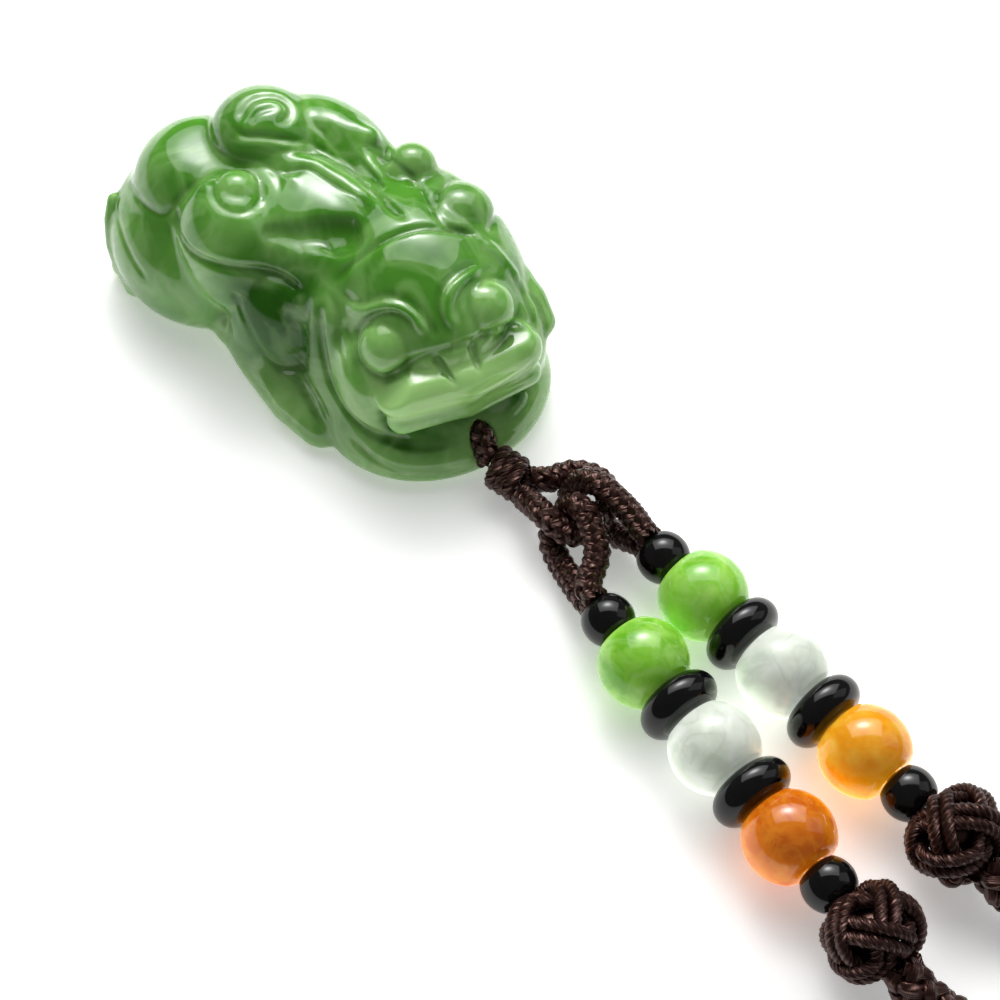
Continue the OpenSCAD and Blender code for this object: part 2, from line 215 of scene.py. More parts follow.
def makeStudio():
    scene = bpy.context.scene
    scene.view_settings.view_transform = "Standard"
    size = studio["floorSize"]
    mesh = bpy.data.meshes.new("floor")
    corners = [(-size, -size, 0), (size, -size, 0), (size, size, 0), (-size, size, 0)]
    mesh.from_pydata(corners, [], [(0, 1, 2, 3)])
    floor = newObject("floor", mesh)
    paper = newMaterial("floorPaper")
    shaderOf(paper, studio["paper"])
    mesh.materials.append(paper)
    world = bpy.data.worlds.new("softSky")
    scene.world = world
    world.use_nodes = True
    for socket, value in studio["sky"].items():
        world.node_tree.nodes["Background"].inputs[socket].default_value = value
    centre = Vector(photo["target"])
    for settings in studio["lights"]:
        data = bpy.data.lights.new(settings["name"], "AREA")
        data.shape = "RECTANGLE"
        data.size, data.size_y = settings["size"][0] * mm, settings["size"][1] * mm
        data.energy = math.pi * data.size * data.size_y  # so a glow of 1 is as bright on every card
        lightNodes(data, settings)
        light = newObject(settings["name"], data)
        heading, rise, distance = settings["from"]
        heading, rise = math.radians(heading + photo["heading"]), math.radians(rise)
        flat = math.cos(rise)
        away = Vector((math.cos(heading) * flat, math.sin(heading) * flat, math.sin(rise)))
        light.location = (centre + away * distance) * mm
        light.rotation_mode = "QUATERNION"
        light.rotation_quaternion = away.to_track_quat("Z", "Y")


makeCamera()
makeStudio()
print("camera and studio placed")


# A cord of strands round its path, by lengths in m. Two Ways braids them over and under, and without it all
# twist one way
braidInputs = (
    ("Strands", "NodeSocketInt", 12), ("Two Ways", "NodeSocketFloat", 1.0),
    ("Ring", "NodeSocketFloat", 0.001), ("Weave", "NodeSocketFloat", 0.0001),
    ("Half Width", "NodeSocketFloat", 0.0004), ("Half Thickness", "NodeSocketFloat", 0.0003),
    ("Pitch", "NodeSocketFloat", 0.006), ("Step", "NodeSocketFloat", 0.0003),
    ("Sides", "NodeSocketInt", 6), ("Core", "NodeSocketFloat", 0.0009), ("Core Sides", "NodeSocketInt", 8),
    ("Seed", "NodeSocketInt", 5), ("Material", "NodeSocketMaterial", None),
)


# The geometry with a value stored on its points
def stored(tree, geometry, name, value, kind="FLOAT"):
    inputs = {"Geometry": geometry, "Name": name, "Value": value}
    return addNode(tree, "GeometryNodeStoreNamedAttribute", inputs, data_type=kind, domain="POINT").outputs[0]


def circle(tree, sides, radius):
    return addNode(tree, "GeometryNodeCurvePrimitiveCircle", {"Resolution": sides, "Radius": radius},
                   mode="RADIUS").outputs["Curve"]


# A profile led along a path, with closed ends
def swept(tree, path, profile):
    return addNode(tree, "GeometryNodeCurveToMesh",
                   {"Curve": path, "Profile Curve": profile, "Fill Caps": True}).outputs[0]


def makeBraidTree():
    tree = bpy.data.node_groups.new("roundBraid", "GeometryNodeTree")
    tree.interface.new_socket("Geometry", in_out="INPUT", socket_type="NodeSocketGeometry")
    for name, kind, value in braidInputs:
        socket = tree.interface.new_socket(name, in_out="INPUT", socket_type=kind)
        if value is not None:
            socket.default_value = value
    tree.interface.new_socket("Geometry", in_out="OUTPUT", socket_type="NodeSocketGeometry")
    given = addNode(tree, "NodeGroupInput").outputs
    path = addNode(tree, "GeometryNodeResampleCurve", {"Curve": given["Geometry"], "Length": given["Step"]},
                   mode="LENGTH").outputs[0]
    copies = addNode(tree, "GeometryNodeDuplicateElements", {"Geometry": path, "Amount": given["Strands"]},
                     domain="SPLINE").outputs
    number = copies["Duplicate Index"]
    # every second strand runs the other way round
    odd = maths(tree, "MULTIPLY", maths(tree, "MODULO", number, 2.0), given["Two Ways"])
    way = maths(tree, "SUBTRACT", 1.0, maths(tree, "MULTIPLY", odd, 2.0))
    place = maths(tree, "SUBTRACT", number, odd)
    phase = maths(tree, "DIVIDE", maths(tree, "MULTIPLY", place, math.tau), given["Strands"])
    along = addNode(tree, "GeometryNodeSplineParameter").outputs["Length"]
    turns = maths(tree, "DIVIDE", maths(tree, "MULTIPLY", along, math.tau), given["Pitch"])
    angle = maths(tree, "ADD", maths(tree, "MULTIPLY", turns, way), phase)
    halfStrands = maths(tree, "MULTIPLY", given["Strands"], 0.5)
    crossing = maths(tree, "COSINE", maths(tree, "MULTIPLY", angle, halfStrands))
    lift = maths(tree, "MULTIPLY", maths(tree, "MULTIPLY", crossing, way), given["Weave"])
    radius = maths(tree, "ADD", given["Ring"], lift)
    normal = addNode(tree, "GeometryNodeInputNormal").outputs[0]
    tangent = addNode(tree, "GeometryNodeInputTangent").outputs[0]
    sideways = vectorMaths(tree, "CROSS_PRODUCT", tangent, normal)
    outward = vectorMaths(
        tree, "ADD", vectorMaths(tree, "SCALE", normal, scale=maths(tree, "COSINE", angle)),
        vectorMaths(tree, "SCALE", sideways, scale=maths(tree, "SINE", angle)))
    kept = stored(tree, copies["Geometry"], "outward", outward, "FLOAT_VECTOR")
    offset = vectorMaths(tree, "SCALE", outward, scale=radius)
    moved = addNode(tree, "GeometryNodeSetPosition", {"Geometry": kept, "Offset": offset}).outputs[0]
    facing = addNode(tree, "GeometryNodeInputNamedAttribute", {"Name": "outward"},
                     data_type="FLOAT_VECTOR").outputs[0]
    framed = addNode(tree, "GeometryNodeSetCurveNormal", {"Curve": moved, "Normal": facing},
                     mode="FREE").outputs[0]
    length = addNode(tree, "GeometryNodeSplineParameter").outputs["Length"]
    measured = stored(tree, framed, "along", length)
    shade = addNode(tree, "FunctionNodeRandomValue", {"ID": number, "Seed": given["Seed"]}, data_type="FLOAT")
    shaded = stored(tree, measured, "tint", shade.outputs[1])
    ring = circle(tree, given["Sides"], 1.0)
    share = addNode(tree, "GeometryNodeSplineParameter").outputs["Factor"]
    marked = stored(tree, ring, "around", share)
    size = addNode(tree, "ShaderNodeCombineXYZ",
                   {0: given["Half Thickness"], 1: given["Half Width"], 2: 1.0}).outputs[0]
    profile = addNode(tree, "GeometryNodeTransform", {"Geometry": marked, "Scale": size}).outputs[0]
    strandMesh = swept(tree, shaded, profile)
    coreMesh = swept(tree, path, circle(tree, given["Core Sides"], given["Core"]))
    joined = tree.nodes.new("GeometryNodeJoinGeometry")
    tree.links.new(coreMesh, joined.inputs[0])
    tree.links.new(strandMesh, joined.inputs[0])
    cleared = addNode(tree, "GeometryNodeRemoveAttribute", {"Geometry": joined.outputs[0], "Name": "outward"})
    smooth = addNode(tree, "GeometryNodeSetShadeSmooth", {"Geometry": cleared.outputs[0]}).outputs[0]
    real = addNode(tree, "GeometryNodeRealizeInstances", {"Geometry": smooth}).outputs[0]
    finished = addNode(tree, "GeometryNodeSetMaterial", {"Geometry": real, "Material": given["Material"]})
    addNode(tree, "NodeGroupOutput", {"Geometry": finished.outputs[0]})
    return tree


def curveObject(name, paths, cyclic=False):
    data = bpy.data.curves.new(name, "CURVE")
    data.dimensions = "3D"
    for points in paths:
        spline = data.splines.new("POLY")
        spline.points.add(len(points) - 1)
        spline.points.foreach_set("co", np.c_[np.array(points) * mm, np.ones(len(points))].ravel())
        spline.use_cyclic_u = cyclic
    return newObject(name, data)


# The finished mesh of a curve with its modifier, in the curve's place
def bakedMesh(source, name):
    bpy.context.view_layer.update()
    graph = bpy.context.evaluated_depsgraph_get()
    mesh = bpy.data.meshes.new_from_object(source.evaluated_get(graph), depsgraph=graph)
    data = source.data
    bpy.data.objects.remove(source)
    bpy.data.curves.remove(data)
    mesh.name = name
    return newObject(name, mesh)


def braided(name, paths, settings, material, cyclic=False):
    source = curveObject(name + "Path", paths, cyclic)
    modifier = source.modifiers.new("roundBraid", "NODES")
    modifier.node_group = braidTree
    values = {**settings, "Material": material}
    for item in braidTree.interface.items_tree:
        if item.in_out == "INPUT" and item.name in values:
            modifier[item.identifier] = values[item.name]
    return bakedMesh(source, name)


# A smooth path through the route's points (a Catmull-Rom curve), with a point about every step
def smoothPath(points, step=0.3):
    p = np.array(points, float)
    p = np.vstack([2 * p[0] - p[1], p, 2 * p[-1] - p[-2]])
    out = []
    for a, b, c, d in zip(p[:-3], p[1:-2], p[2:-1], p[3:]):
        count = max(2, int(np.linalg.norm(c - b) / step))
        t = (np.arange(count) / count)[:, None]
        line = 2 * b + (c - a) * t
        out.append(0.5 * (line + (2 * a - 5 * b + 4 * c - d) * t ** 2 + (3 * b - a - 3 * c + d) * t ** 3))
    out.append(p[-2][None])
    return np.vstack(out)


# Routes of the loops: x and y from the string's zero in mm, and lift off the surface in cord diameters
loopRoutes = {
    "pendant": (
        (3.6, 1.8, 0.6), (4.3, 2.8, 0.55), (4.9, 4.1, 0.5), (6.1, 5.2, 0.5), (8, 5.7, 0.6),
        (9.9, 5.1, 0.85), (11.3, 3.7, 1.1), (12, 1.9, 1.15), (12, 0.2, 1.05), (11.4, -1.6, 1),
        (10, -2.9, 1.3), (8, -3.1, 1.6), (6, -2.5, 1.35), (4.4, -1.8, 0.9),
    ),
    "upper": (
        (17.3, 1.8, 1.85), (16, 2.2, 2), (14.4, 2.5, 2.2), (12.4, 2.7, 2.35), (10.4, 3, 2.3),
        (8.6, 3.2, 1.85), (7.6, 3, 1.25), (7.1, 2.4, 0.65), (7.3, 1.9, 0.15), (8.8, 2, 0.05),
        (10.6, 2.1, 0.05), (12.8, 2, 0.05), (14.7, 1.7, 0.3), (16.5, 1.7, 0.7),
    ),
    "lower": (
        (17, -7.8, 1.85), (16.3, -6.8, 1.8), (15.8, -5.4, 1.75), (15.2, -3.9, 1.75),
        (14.2, -2.6, 1.85), (12.7, -1.4, 2), (10.9, -0.5, 2.1), (9.3, -0.1, 1.65), (8.2, -0.7, 0.95),
        (7.9, -1.9, 0.45), (8.7, -3.4, 0.25), (10.3, -4.6, 0.2), (12.2, -5.6, 0.3), (14.1, -6.6, 0.55),
        (16.1, -7.6, 0.8),
    ),
}
# Half of the neck braid's route from midway between the button knots' fronts, mirrored for the other half
neckHalf = (
    (8, 7.4), (14, 8.6), (22, 12.5), (32, 20.5), (43, 31), (55, 41), (68, 49.5), (82, 55.5), (97, 59.5),
    (113, 61), (129, 59.5), (144, 55.5), (158, 49), (170, 40.5), (180, 30), (187.5, 18), (191.5, 6),
)


def loopPoints(route):
    thick = string["cordThick"]
    return [stringAt + (x, y, (lift + 0.5) * thick + string["floorGap"]) for x, y, lift in loopRoutes[route]]


def neckPoints():
    begin = strandBegin(buttonPlace) + pieceLengths[buttonPlace] + string["gap"]
    flat = string["braidThick"] / 2 + string["floorGap"]
    starts = [strandPoint(side, begin, knotHeight) for side in strands]
    leadHeight = (2 * knotHeight + flat) / 3
    leads = [strandPoint(side, begin + string["braidLead"], leadHeight) for side in strands]
    middle = (starts[0] + starts[1]) / 2 * (1, 1, 0) + (0, 0, flat)
    there = [middle + (x, y, 0) for x, y in neckHalf]
    back = [middle + (x, -y, 0) for x, y in reversed(neckHalf)]
    return [starts[0], leads[0], *there, *back, leads[1], starts[1]]


# Looks of the cords by the braid's inputs, with lengths in mm
cordLooks = {
    "loop": {"Strands": 8, "Ring": 1.01, "Weave": 0.19, "Half Width": 0.57, "Half Thickness": 0.41,
             "Pitch": 5.0, "Step": 0.2, "Sides": 7, "Core": 0.88},
    "neck": {"Strands": 8, "Ring": 1.62, "Weave": 0.36, "Half Width": 0.84, "Half Thickness": 0.58,
             "Pitch": 10, "Step": 0.45, "Sides": 7, "Core": 1.4},
    "wrap": {"Strands": 4, "Two Ways": 0.0, "Ring": 0.46, "Weave": 0, "Half Width": 0.42,
             "Half Thickness": 0.42, "Pitch": 3.2, "Step": 0.16, "Sides": 7, "Core": 0.45},
    "knot": {"Strands": 4, "Two Ways": 0.0, "Ring": 0.40, "Weave": 0, "Half Width": 0.36,
             "Half Thickness": 0.36, "Pitch": 2.6, "Step": 0.16, "Sides": 7, "Core": 0.4},
}
lengthInputs = ("Ring", "Weave", "Half Width", "Half Thickness", "Pitch", "Step", "Core")


def cordLook(name):
    return {key: value * mm if key in lengthInputs else value for key, value in cordLooks[name].items()}


def makeLoops(material):
    loops = {}
    apart = (string["cordThick"] + string["gap"]) / 2
    side = turned((0, 1, 0), string["wrapTurn"])
    front = wrapAt + (string["wrapLength"] / 2 + string["gap"]) * wrapAxis
    path = [front + apart * side, *loopPoints("pendant"), front - apart * side]
    loops["pendant_loop"] = braided("pendantLoopBraid", [smoothPath(path)], cordLook("loop"), material)
    for name in strands:
        ends = [strandPoint(name, -string["gap"], threadHeight + s * apart) for s in (1, -1)]
        path = [ends[0], *loopPoints(name), ends[1]]
        loops[name + "_loop"] = braided(name + "LoopBraid", [smoothPath(path)], cordLook("loop"), material)
    bore = carving["boreLength"]
    rear = wrapAt - (string["wrapLength"] / 2 + string["gap"]) * wrapAxis
    path = [mouthAt - (bore - string["gap"]) * headAxis, mouthAt - bore / 2 * headAxis, mouthAt, rear]
    loops["mouth_cord"] = braided("mouthCordBraid", [smoothPath(path)], cordLook("loop"), material)
    return loops


# Wrapped knot: how often its cord goes round, and the points of its route
wrapKnot = {"turns": 3, "points": 120}


def makeWrap(material):
    turns, thick = wrapKnot["turns"] * math.tau, string["wrapLength"] / wrapKnot["turns"]
    radius = (string["wrapThick"] - thick) / 2
    across = turned((0, 1, 0), string["wrapTurn"])
    up = np.cross(wrapAxis, across)
    points = []
    for t in np.linspace(0, turns, wrapKnot["points"]):
        along = (t / turns - 0.5) * (string["wrapLength"] - thick)
        points.append(wrapAt + along * wrapAxis + radius * (math.cos(t) * across + math.sin(t) * up))
    return braided("wrapKnotTurns", [points], cordLook("wrap"), material)


neckStep = 0.5  # between the points of the neck braid's route, in mm


def makeNeckBraid(material):
    return braided("neckBraid", [smoothPath(neckPoints(), neckStep)], cordLook("neck"), material)


# Button knot: a doubled cord woven round a ball. leads is how often it goes round, bights how often it turns
# at an end, steepness how far toward the ends it goes in degrees, rise how far it lifts at a crossing, strand
# half a cord's width, and endShare how much of both counts along the axis. core is the filling's share of the
# ball, and coreReach half its profile's arc in radians. The two knots are turned apart, in radians
buttonKnot = {
    "leads": 3, "bights": 4, "steepness": 60, "rise": 0.60, "strand": 0.74, "endShare": 0.6, "points": 360,
    "core": 0.70, "coreReach": 1.57, "coreRows": 24, "spins": {"upper": 0.3, "lower": 0.9},
}


def makeButton(side, material):
    s, spin = buttonKnot, buttonKnot["spins"][side]
    axis = strandAxis(side)
    across = np.array([-axis[1], axis[0], 0])
    up = np.cross(axis, across)
    centre = strandPoint(side, strandBegin(buttonPlace) + pieceLengths[buttonPlace] / 2, knotHeight)
    wide = string["knotWide"] / 2 - s["strand"] - s["rise"]
    long = string["knotLong"] / 2 - s["strand"] * s["endShare"]
    t = np.linspace(0, s["leads"] * math.tau, s["points"], endpoint=False)
    lat = math.radians(s["steepness"]) * np.cos(s["bights"] * t / s["leads"])
    lift = s["rise"] * np.sin(2 * s["bights"] * t / s["leads"])
    a, c = wide + lift, long + lift * s["endShare"]
    local = np.c_[a * np.cos(lat) * np.cos(t + spin), a * np.cos(lat) * np.sin(t + spin), c * np.sin(lat)]
    outward = units(local / np.array([wide ** 2, wide ** 2, long ** 2]))
    ahead = np.roll(local, -1, 0) - np.roll(local, 1, 0)
    beside = units(np.cross(ahead, outward))
    paths = []
    for way in (-1, 1):
        p = local + way * s["strand"] * beside
        paths.append(centre + p[:, :1] * across + p[:, 1:2] * up + p[:, 2:] * axis)
    knot = braided(side + "ButtonKnot", paths, cordLook("knot"), material, cyclic=True)
    heights = np.linspace(-s["coreReach"], s["coreReach"], s["coreRows"])
    core = [(s["core"] * wide * math.cos(h), s["core"] * long * math.sin(h)) for h in heights]
    addSolid(knot, core, centre, axis, across, up)
    return knot


# Adds a turned solid inside a finished piece, by rows of radius and height along the axis
def addSolid(piece, rows, centre, axis, across, up, around=36):
    shape = bmesh.new()
    shape.from_mesh(piece.data)
    shape.faces.ensure_lookup_table()
    slot = shape.faces[0].material_index
    rings = []
    for radius, height in rows:
        turn = np.linspace(0, math.tau, around, endpoint=False)
        ring = centre + height * axis + radius * (np.cos(turn)[:, None] * across + np.sin(turn)[:, None] * up)
        rings.append([shape.verts.new(p * mm) for p in ring])
    for low, high in zip(rings[:-1], rings[1:]):
        for i in range(around):
            j = (i + 1) % around
            face = shape.faces.new((low[i], low[j], high[j], high[i]))
            face.smooth, face.material_index = True, slot
    for ring in (rings[0][::-1], rings[-1]):
        shape.faces.new(ring).material_index = slot
    shape.to_mesh(piece.data)
    shape.free()


# Sockets 6 and 7 of a Mix node are its two colours
def mixColor(tree, factor, a, b):
    node = addNode(tree, "ShaderNodeMix", {0: factor}, data_type="RGBA")
    for socket, value in ((node.inputs[6], a), (node.inputs[7], b)):
        if isinstance(value, bpy.types.NodeSocket):
            tree.links.new(value, socket)
        else:
            socket.default_value = (*value, 1)
    return node.outputs[2]


# Noise on object coordinates: its size in mm, and an offset in m that sets one noise apart from the others
def cloud(tree, size, detail, rough, distortion, offset=0.0):
    place = addNode(tree, "ShaderNodeTexCoord").outputs["Object"]
    shift = (offset, offset * 0.7, offset * 0.4)
    moved = addNode(tree, "ShaderNodeMapping", {"Vector": place, "Location": shift})
    return addNode(tree, "ShaderNodeTexNoise", {
        "Vector": moved.outputs[0], "Scale": 1 / (size * mm), "Detail": detail, "Roughness": rough,
        "Distortion": distortion}).outputs["Fac"]


# A value from low to high goes from start to end, and no further
def remap(tree, value, low, high, start=0.0, end=1.0):
    return addNode(tree, "ShaderNodeMapRange", {0: value, 1: low, 2: high, 3: start, 4: end}).outputs[0]


def attribute(tree, name):
    return addNode(tree, "ShaderNodeAttribute", attribute_name=name).outputs["Fac"]


# Polished stones: the colours from the dark patches to the pale ones, which on the carving also give its
# painted shade and painted light, the strength of their painted glow (emission that stands in for light
# passing through the stone), the sizes of the patches and of the veins' bends in mm, and how wide and strong
# the veins are
stoneLooksOf = {
    "greenJade": {
        "deep": (0.022, 0.120, 0.004), "body": (0.098, 0.335, 0.026), "milk": (0.36, 0.62, 0.21),
        "glow": 0.07, "toneGlow": 0.22, "cloud": 7, "vein": 9, "veinColor": (0.36, 0.60, 0.22),
        "veinWidth": 0.10, "veinShare": 0.30,
        "shader": {"Subsurface Weight": 0.6, "Subsurface Radius": (0.5, 1.3, 0.35),
                   "Subsurface Scale": 0.0022, "Roughness": 0.05, "IOR": 1.66},
    },
    "greenBead": {
        "deep": (0.17, 0.50, 0.02), "body": (0.28, 0.68, 0.05), "milk": (0.46, 0.82, 0.15),
        "glow": 0.42, "cloud": 6, "vein": 5, "veinColor": (0.50, 0.78, 0.25), "veinWidth": 0.07,
        "veinShare": 0.28,
        "shader": {"Subsurface Weight": 0.6, "Subsurface Radius": (0.6, 1.2, 0.3), "Subsurface Scale": 0.002,
                   "Roughness": 0.05, "IOR": 1.62},
    },
    "whiteBead": {
        "deep": (0.66, 0.73, 0.61), "body": (0.76, 0.81, 0.72), "milk": (0.86, 0.90, 0.84),
        "glow": 1.05, "cloud": 6, "vein": 5, "veinColor": (0.44, 0.52, 0.42), "veinWidth": 0.07,
        "veinShare": 0.28,
        "shader": {"Subsurface Weight": 0.5, "Subsurface Radius": (1, 1.1, 0.9), "Subsurface Scale": 0.002,
                   "Roughness": 0.07, "IOR": 1.6},
    },
    "lightAmber": {
        "deep": (0.80, 0.27, 0.003), "body": (0.90, 0.37, 0.008), "milk": (0.95, 0.54, 0.05),
        "glow": 1.15, "cloud": 6, "vein": 4, "veinColor": (0.95, 0.50, 0.05), "veinWidth": 0.07,
        "veinShare": 0.28,
        "shader": {"Subsurface Weight": 0.55, "Subsurface Radius": (1.2, 0.6, 0.15),
                   "Subsurface Scale": 0.002, "Roughness": 0.05, "IOR": 1.6},
    },
    "darkAmber": {
        "deep": (0.56, 0.11, 0.002), "body": (0.70, 0.17, 0.004), "milk": (0.82, 0.28, 0.015),
        "glow": 1.05, "cloud": 6, "vein": 4, "veinColor": (0.85, 0.34, 0.03), "veinWidth": 0.07,
        "veinShare": 0.28,
        "shader": {"Subsurface Weight": 0.55, "Subsurface Radius": (1.2, 0.5, 0.12),
                   "Subsurface Scale": 0.002, "Roughness": 0.05, "IOR": 1.6},
    },
}


# What the noise and the carving's attributes make of the colour, the gloss and the painted glow: noise as
# detail, roughness, distortion and offset, and the rest as ranges for remap. The carving's attributes paint
# shade into its hollows and shaded spots, and paint light where it is thin and at its lit spots
stoneNoise = {
    "broad": (3, 0.5, 0.3), "fine": (3, 0.5, 0.5, 0.02), "fineShare": 0.4, "vein": (3, 0.5, 1.0, 0.05),
}
stoneRanges = {
    "depth": (0.30, 0.66), "beadMilk": (0.42, 0.78), "jadeBody": (0, 1, 0.48, 1.0),
    "thin": (0.1, 0.7), "thinPatch": (0.25, 0.7, 0.5, 1.0), "thinShare": 0.75,
    "hollow": (0.16, 0.6, 0.0, 0.8), "pale": (0.0, 1.0), "dark": (0.0, -1.0),
    "hollowReflectionShade": (0.1, 0.6), "spotReflectionShade": (0.0, -0.8), "gloss": (0.0, 1.0, 0.5, 0.22),
}
# Painted glow in a bead, emission standing in for light passing through it and lighting its lower part: full
# up to one height and nearly gone at another, both in round beads' widths, with the shares of it that stay at
# the top and at the foot
beadPaintedGlow = {"full": 0.3, "dark": 0.9, "top": 0.10, "foot": 0.2}


def stoneMaterial(name, carved=False):
    look, ranges = stoneLooksOf[name], stoneRanges
    material = newMaterial(name)
    tree = material.node_tree
    broad = cloud(tree, look["cloud"], *stoneNoise["broad"])
    fine = cloud(tree, look["cloud"] * stoneNoise["fineShare"], *stoneNoise["fine"])
    vein = cloud(tree, look["vein"], *stoneNoise["vein"])
    depth = remap(tree, broad, *ranges["depth"])
    if carved:
        hollow, thin, tone = (attribute(tree, kind) for kind in ("hollow", "thin", "tone"))
        color = mixColor(tree, remap(tree, depth, *ranges["jadeBody"]), look["deep"], look["body"])
        # Painted light: where the stone is thin it is paled toward milk in noisy patches, as if lit through,
        # and so are the painted light spots
        patch = remap(tree, fine, *ranges["thinPatch"])
        paintedLight = maths(tree, "MULTIPLY", remap(tree, thin, *ranges["thin"]), patch)
        paintedLight = maths(tree, "MULTIPLY", paintedLight, ranges["thinShare"])
        paintedLight = maths(tree, "MAXIMUM", paintedLight, remap(tree, tone, *ranges["pale"]))
        color = mixColor(tree, paintedLight, color, look["milk"])
        # Painted shade: hollows and the painted shade spots are darkened toward the deep green
        color = mixColor(tree, remap(tree, hollow, *ranges["hollow"]), color, look["deep"])
        color = mixColor(tree, remap(tree, tone, *ranges["dark"]), color, look["deep"])
    else:
        color = mixColor(tree, depth, look["deep"], look["body"])
        color = mixColor(tree, remap(tree, fine, *ranges["beadMilk"]), color, look["milk"])
    away = maths(tree, "ABSOLUTE", maths(tree, "SUBTRACT", vein, 0.5))
    line = remap(tree, away, 0.0, look["veinWidth"], look["veinShare"], 0.0)
    color = mixColor(tree, line, color, look["veinColor"])
    shader = shaderOf(material, look["shader"])
    tree.links.new(color, shader.inputs["Base Color"])
    # Painted glow: each stone emits its own colour
    tree.links.new(color, shader.inputs["Emission Color"])
    if carved:
        # Painted shade on the reflections: the specular level is lowered in hollows and at the painted shade
        # spots
        reflectionShade = remap(tree, hollow, *ranges["hollowReflectionShade"])
        reflectionShade = maths(tree, "MAXIMUM", reflectionShade, remap(tree, tone, *ranges["spotReflectionShade"]))
        tree.links.new(remap(tree, reflectionShade, *ranges["gloss"]), shader.inputs["Specular IOR Level"])
        # Painted glow of the carving, stronger at its painted light spots
        light = remap(tree, tone, *ranges["pale"], look["glow"], look["toneGlow"])
    else:
        # Painted glow of a bead: strongest low down and fading toward its top and its very foot
        place = addNode(tree, "ShaderNodeTexCoord").outputs["Object"]
        height = addNode(tree, "ShaderNodeSeparateXYZ", {0: place}).outputs[2]
        wide = beadSizes["roundWide"] * mm
        full, dark = beadPaintedGlow["full"] * wide, beadPaintedGlow["dark"] * wide
        light = remap(tree, height, full, dark, look["glow"], look["glow"] * beadPaintedGlow["top"])
        light = maths(tree, "MULTIPLY", light, remap(tree, height, 0.0, full, beadPaintedGlow["foot"], 1.0))
    tree.links.new(light, shader.inputs["Emission Strength"])
    return material


# Black stone: its patches' noise and colours, and the noise and range of its roughness
blackLook = {
    "patches": (2.5, 3, 0.6, 0.3), "patchRange": (0.3, 0.75), "dark": (0.0022, 0.0022, 0.0025),
    "pale": (0.0060, 0.0058, 0.0058), "wear": (1.2, 2, 0.5, 0.0, 0.03), "roughness": (0.3, 0.7, 0.07, 0.13),
    "shader": {"IOR": 1.45},
}


def blackMaterial():
    material = newMaterial("blackStone")
    tree = material.node_tree
    shade = remap(tree, cloud(tree, *blackLook["patches"]), *blackLook["patchRange"])
    shader = shaderOf(material, blackLook["shader"])
    tree.links.new(mixColor(tree, shade, blackLook["dark"], blackLook["pale"]), shader.inputs["Base Color"])
    roughness = remap(tree, cloud(tree, *blackLook["wear"]), *blackLook["roughness"])
    tree.links.new(roughness, shader.inputs["Roughness"])
    return material


# Waxed thread: a strand is a ply of finer threads, laid out by the strand's own length and turn, plyLength in
# mm. The ply, the strand's own tint and some fibre each have a share in how light it is. The ply's share is
# painted shade and highlight: darker in the grooves between the threads and lighter on their crests
threadLook = {
    "dark": (0.0018, 0.0005, 0.0004), "light": (0.018, 0.0046, 0.0033), "plyLength": 2.4, "plies": 4,
    "fibre": (0.12, 2, 0.5, 0.0), "plyShadeShare": 0.6, "tintShare": 0.25, "fibreShare": 0.25, "fibreHeight": 0.5,
    "bump": {"Strength": 0.7, "Distance": 0.00008},
    "shader": {"Roughness": 0.28, "Specular IOR Level": 1.0, "Specular Tint": (1.0, 0.56, 0.48, 1)},
}


def threadMaterial():
    material, look = newMaterial("brownCord"), threadLook
    tree = material.node_tree
    along, around, tint = (attribute(tree, kind) for kind in ("along", "around", "tint"))
    turn = maths(tree, "ADD", maths(tree, "MULTIPLY", along, math.tau / (look["plyLength"] * mm)),
                 maths(tree, "MULTIPLY", around, math.tau * look["plies"]))
    ply = maths(tree, "SINE", turn)
    fibre = cloud(tree, *look["fibre"])
    # Painted shade and highlight along the plies
    light = remap(tree, ply, -1, 1, 0.0, look["plyShadeShare"])
    light = maths(tree, "ADD", light, maths(tree, "MULTIPLY", tint, look["tintShare"]))
    light = maths(tree, "ADD", light, maths(tree, "MULTIPLY", fibre, look["fibreShare"]))
    height = maths(tree, "ADD", ply, maths(tree, "MULTIPLY", fibre, look["fibreHeight"]))
    bump = addNode(tree, "ShaderNodeBump", {"Height": height, **look["bump"]}).outputs[0]
    shader = shaderOf(material, look["shader"])
    tree.links.new(mixColor(tree, light, look["dark"], look["light"]), shader.inputs["Base Color"])
    tree.links.new(bump, shader.inputs["Normal"])
    return material


# Forms of the carving: those of the part's source, refined, in shares of its length, width and height
# Masses, columns: x y z of the middle, x y z radii, turn in degrees, softness of the join and how much of the
# top is polished flat, both in mm
bodyMasses = (
    (-0.05, 0.03, 0.40, 0.42, 0.38, 0.47, 0, 3, 0),          # trunk
    (-0.31, -0.08, 0.24, 0.22, 0.435, 0.44, -8, 2, 0),       # rump
    (-0.22, 0.18, 0.40, 0.19, 0.32, 0.42, 0, 2.5, 0),        # far haunch
    (-0.325, -0.06, 0.52, 0.155, 0.29, 0.31, 0, 1.2, 0.7),   # buttock
    (-0.175, -0.205, 0.53, 0.145, 0.225, 0.35, -20, 1, 0),   # near thigh
    (0.16, 0.23, 0.42, 0.25, 0.31, 0.44, -10, 2.5, 0),       # far shoulder
    (-0.042, -0.29, 0.27, 0.108, 0.165, 0.36, 0, 0.5, 0),    # near foreleg
    (-0.25, 0.16, 0.73, 0.12, 0.22, 0.25, 0, 0.8, 0),        # curled tail
    (-0.145, 0.325, 0.62, 0.16, 0.195, 0.28, 0, 1.2, 0),     # tail's second lobe
    (0.17, 0.29, 0.59, 0.20, 0.215, 0.28, -15, 1.5, 0),      # mane on the far side
    (0.06, 0.25, 0.58, 0.12, 0.17, 0.24, -23, 0.8, 0.7),     # leaf of the mane
)
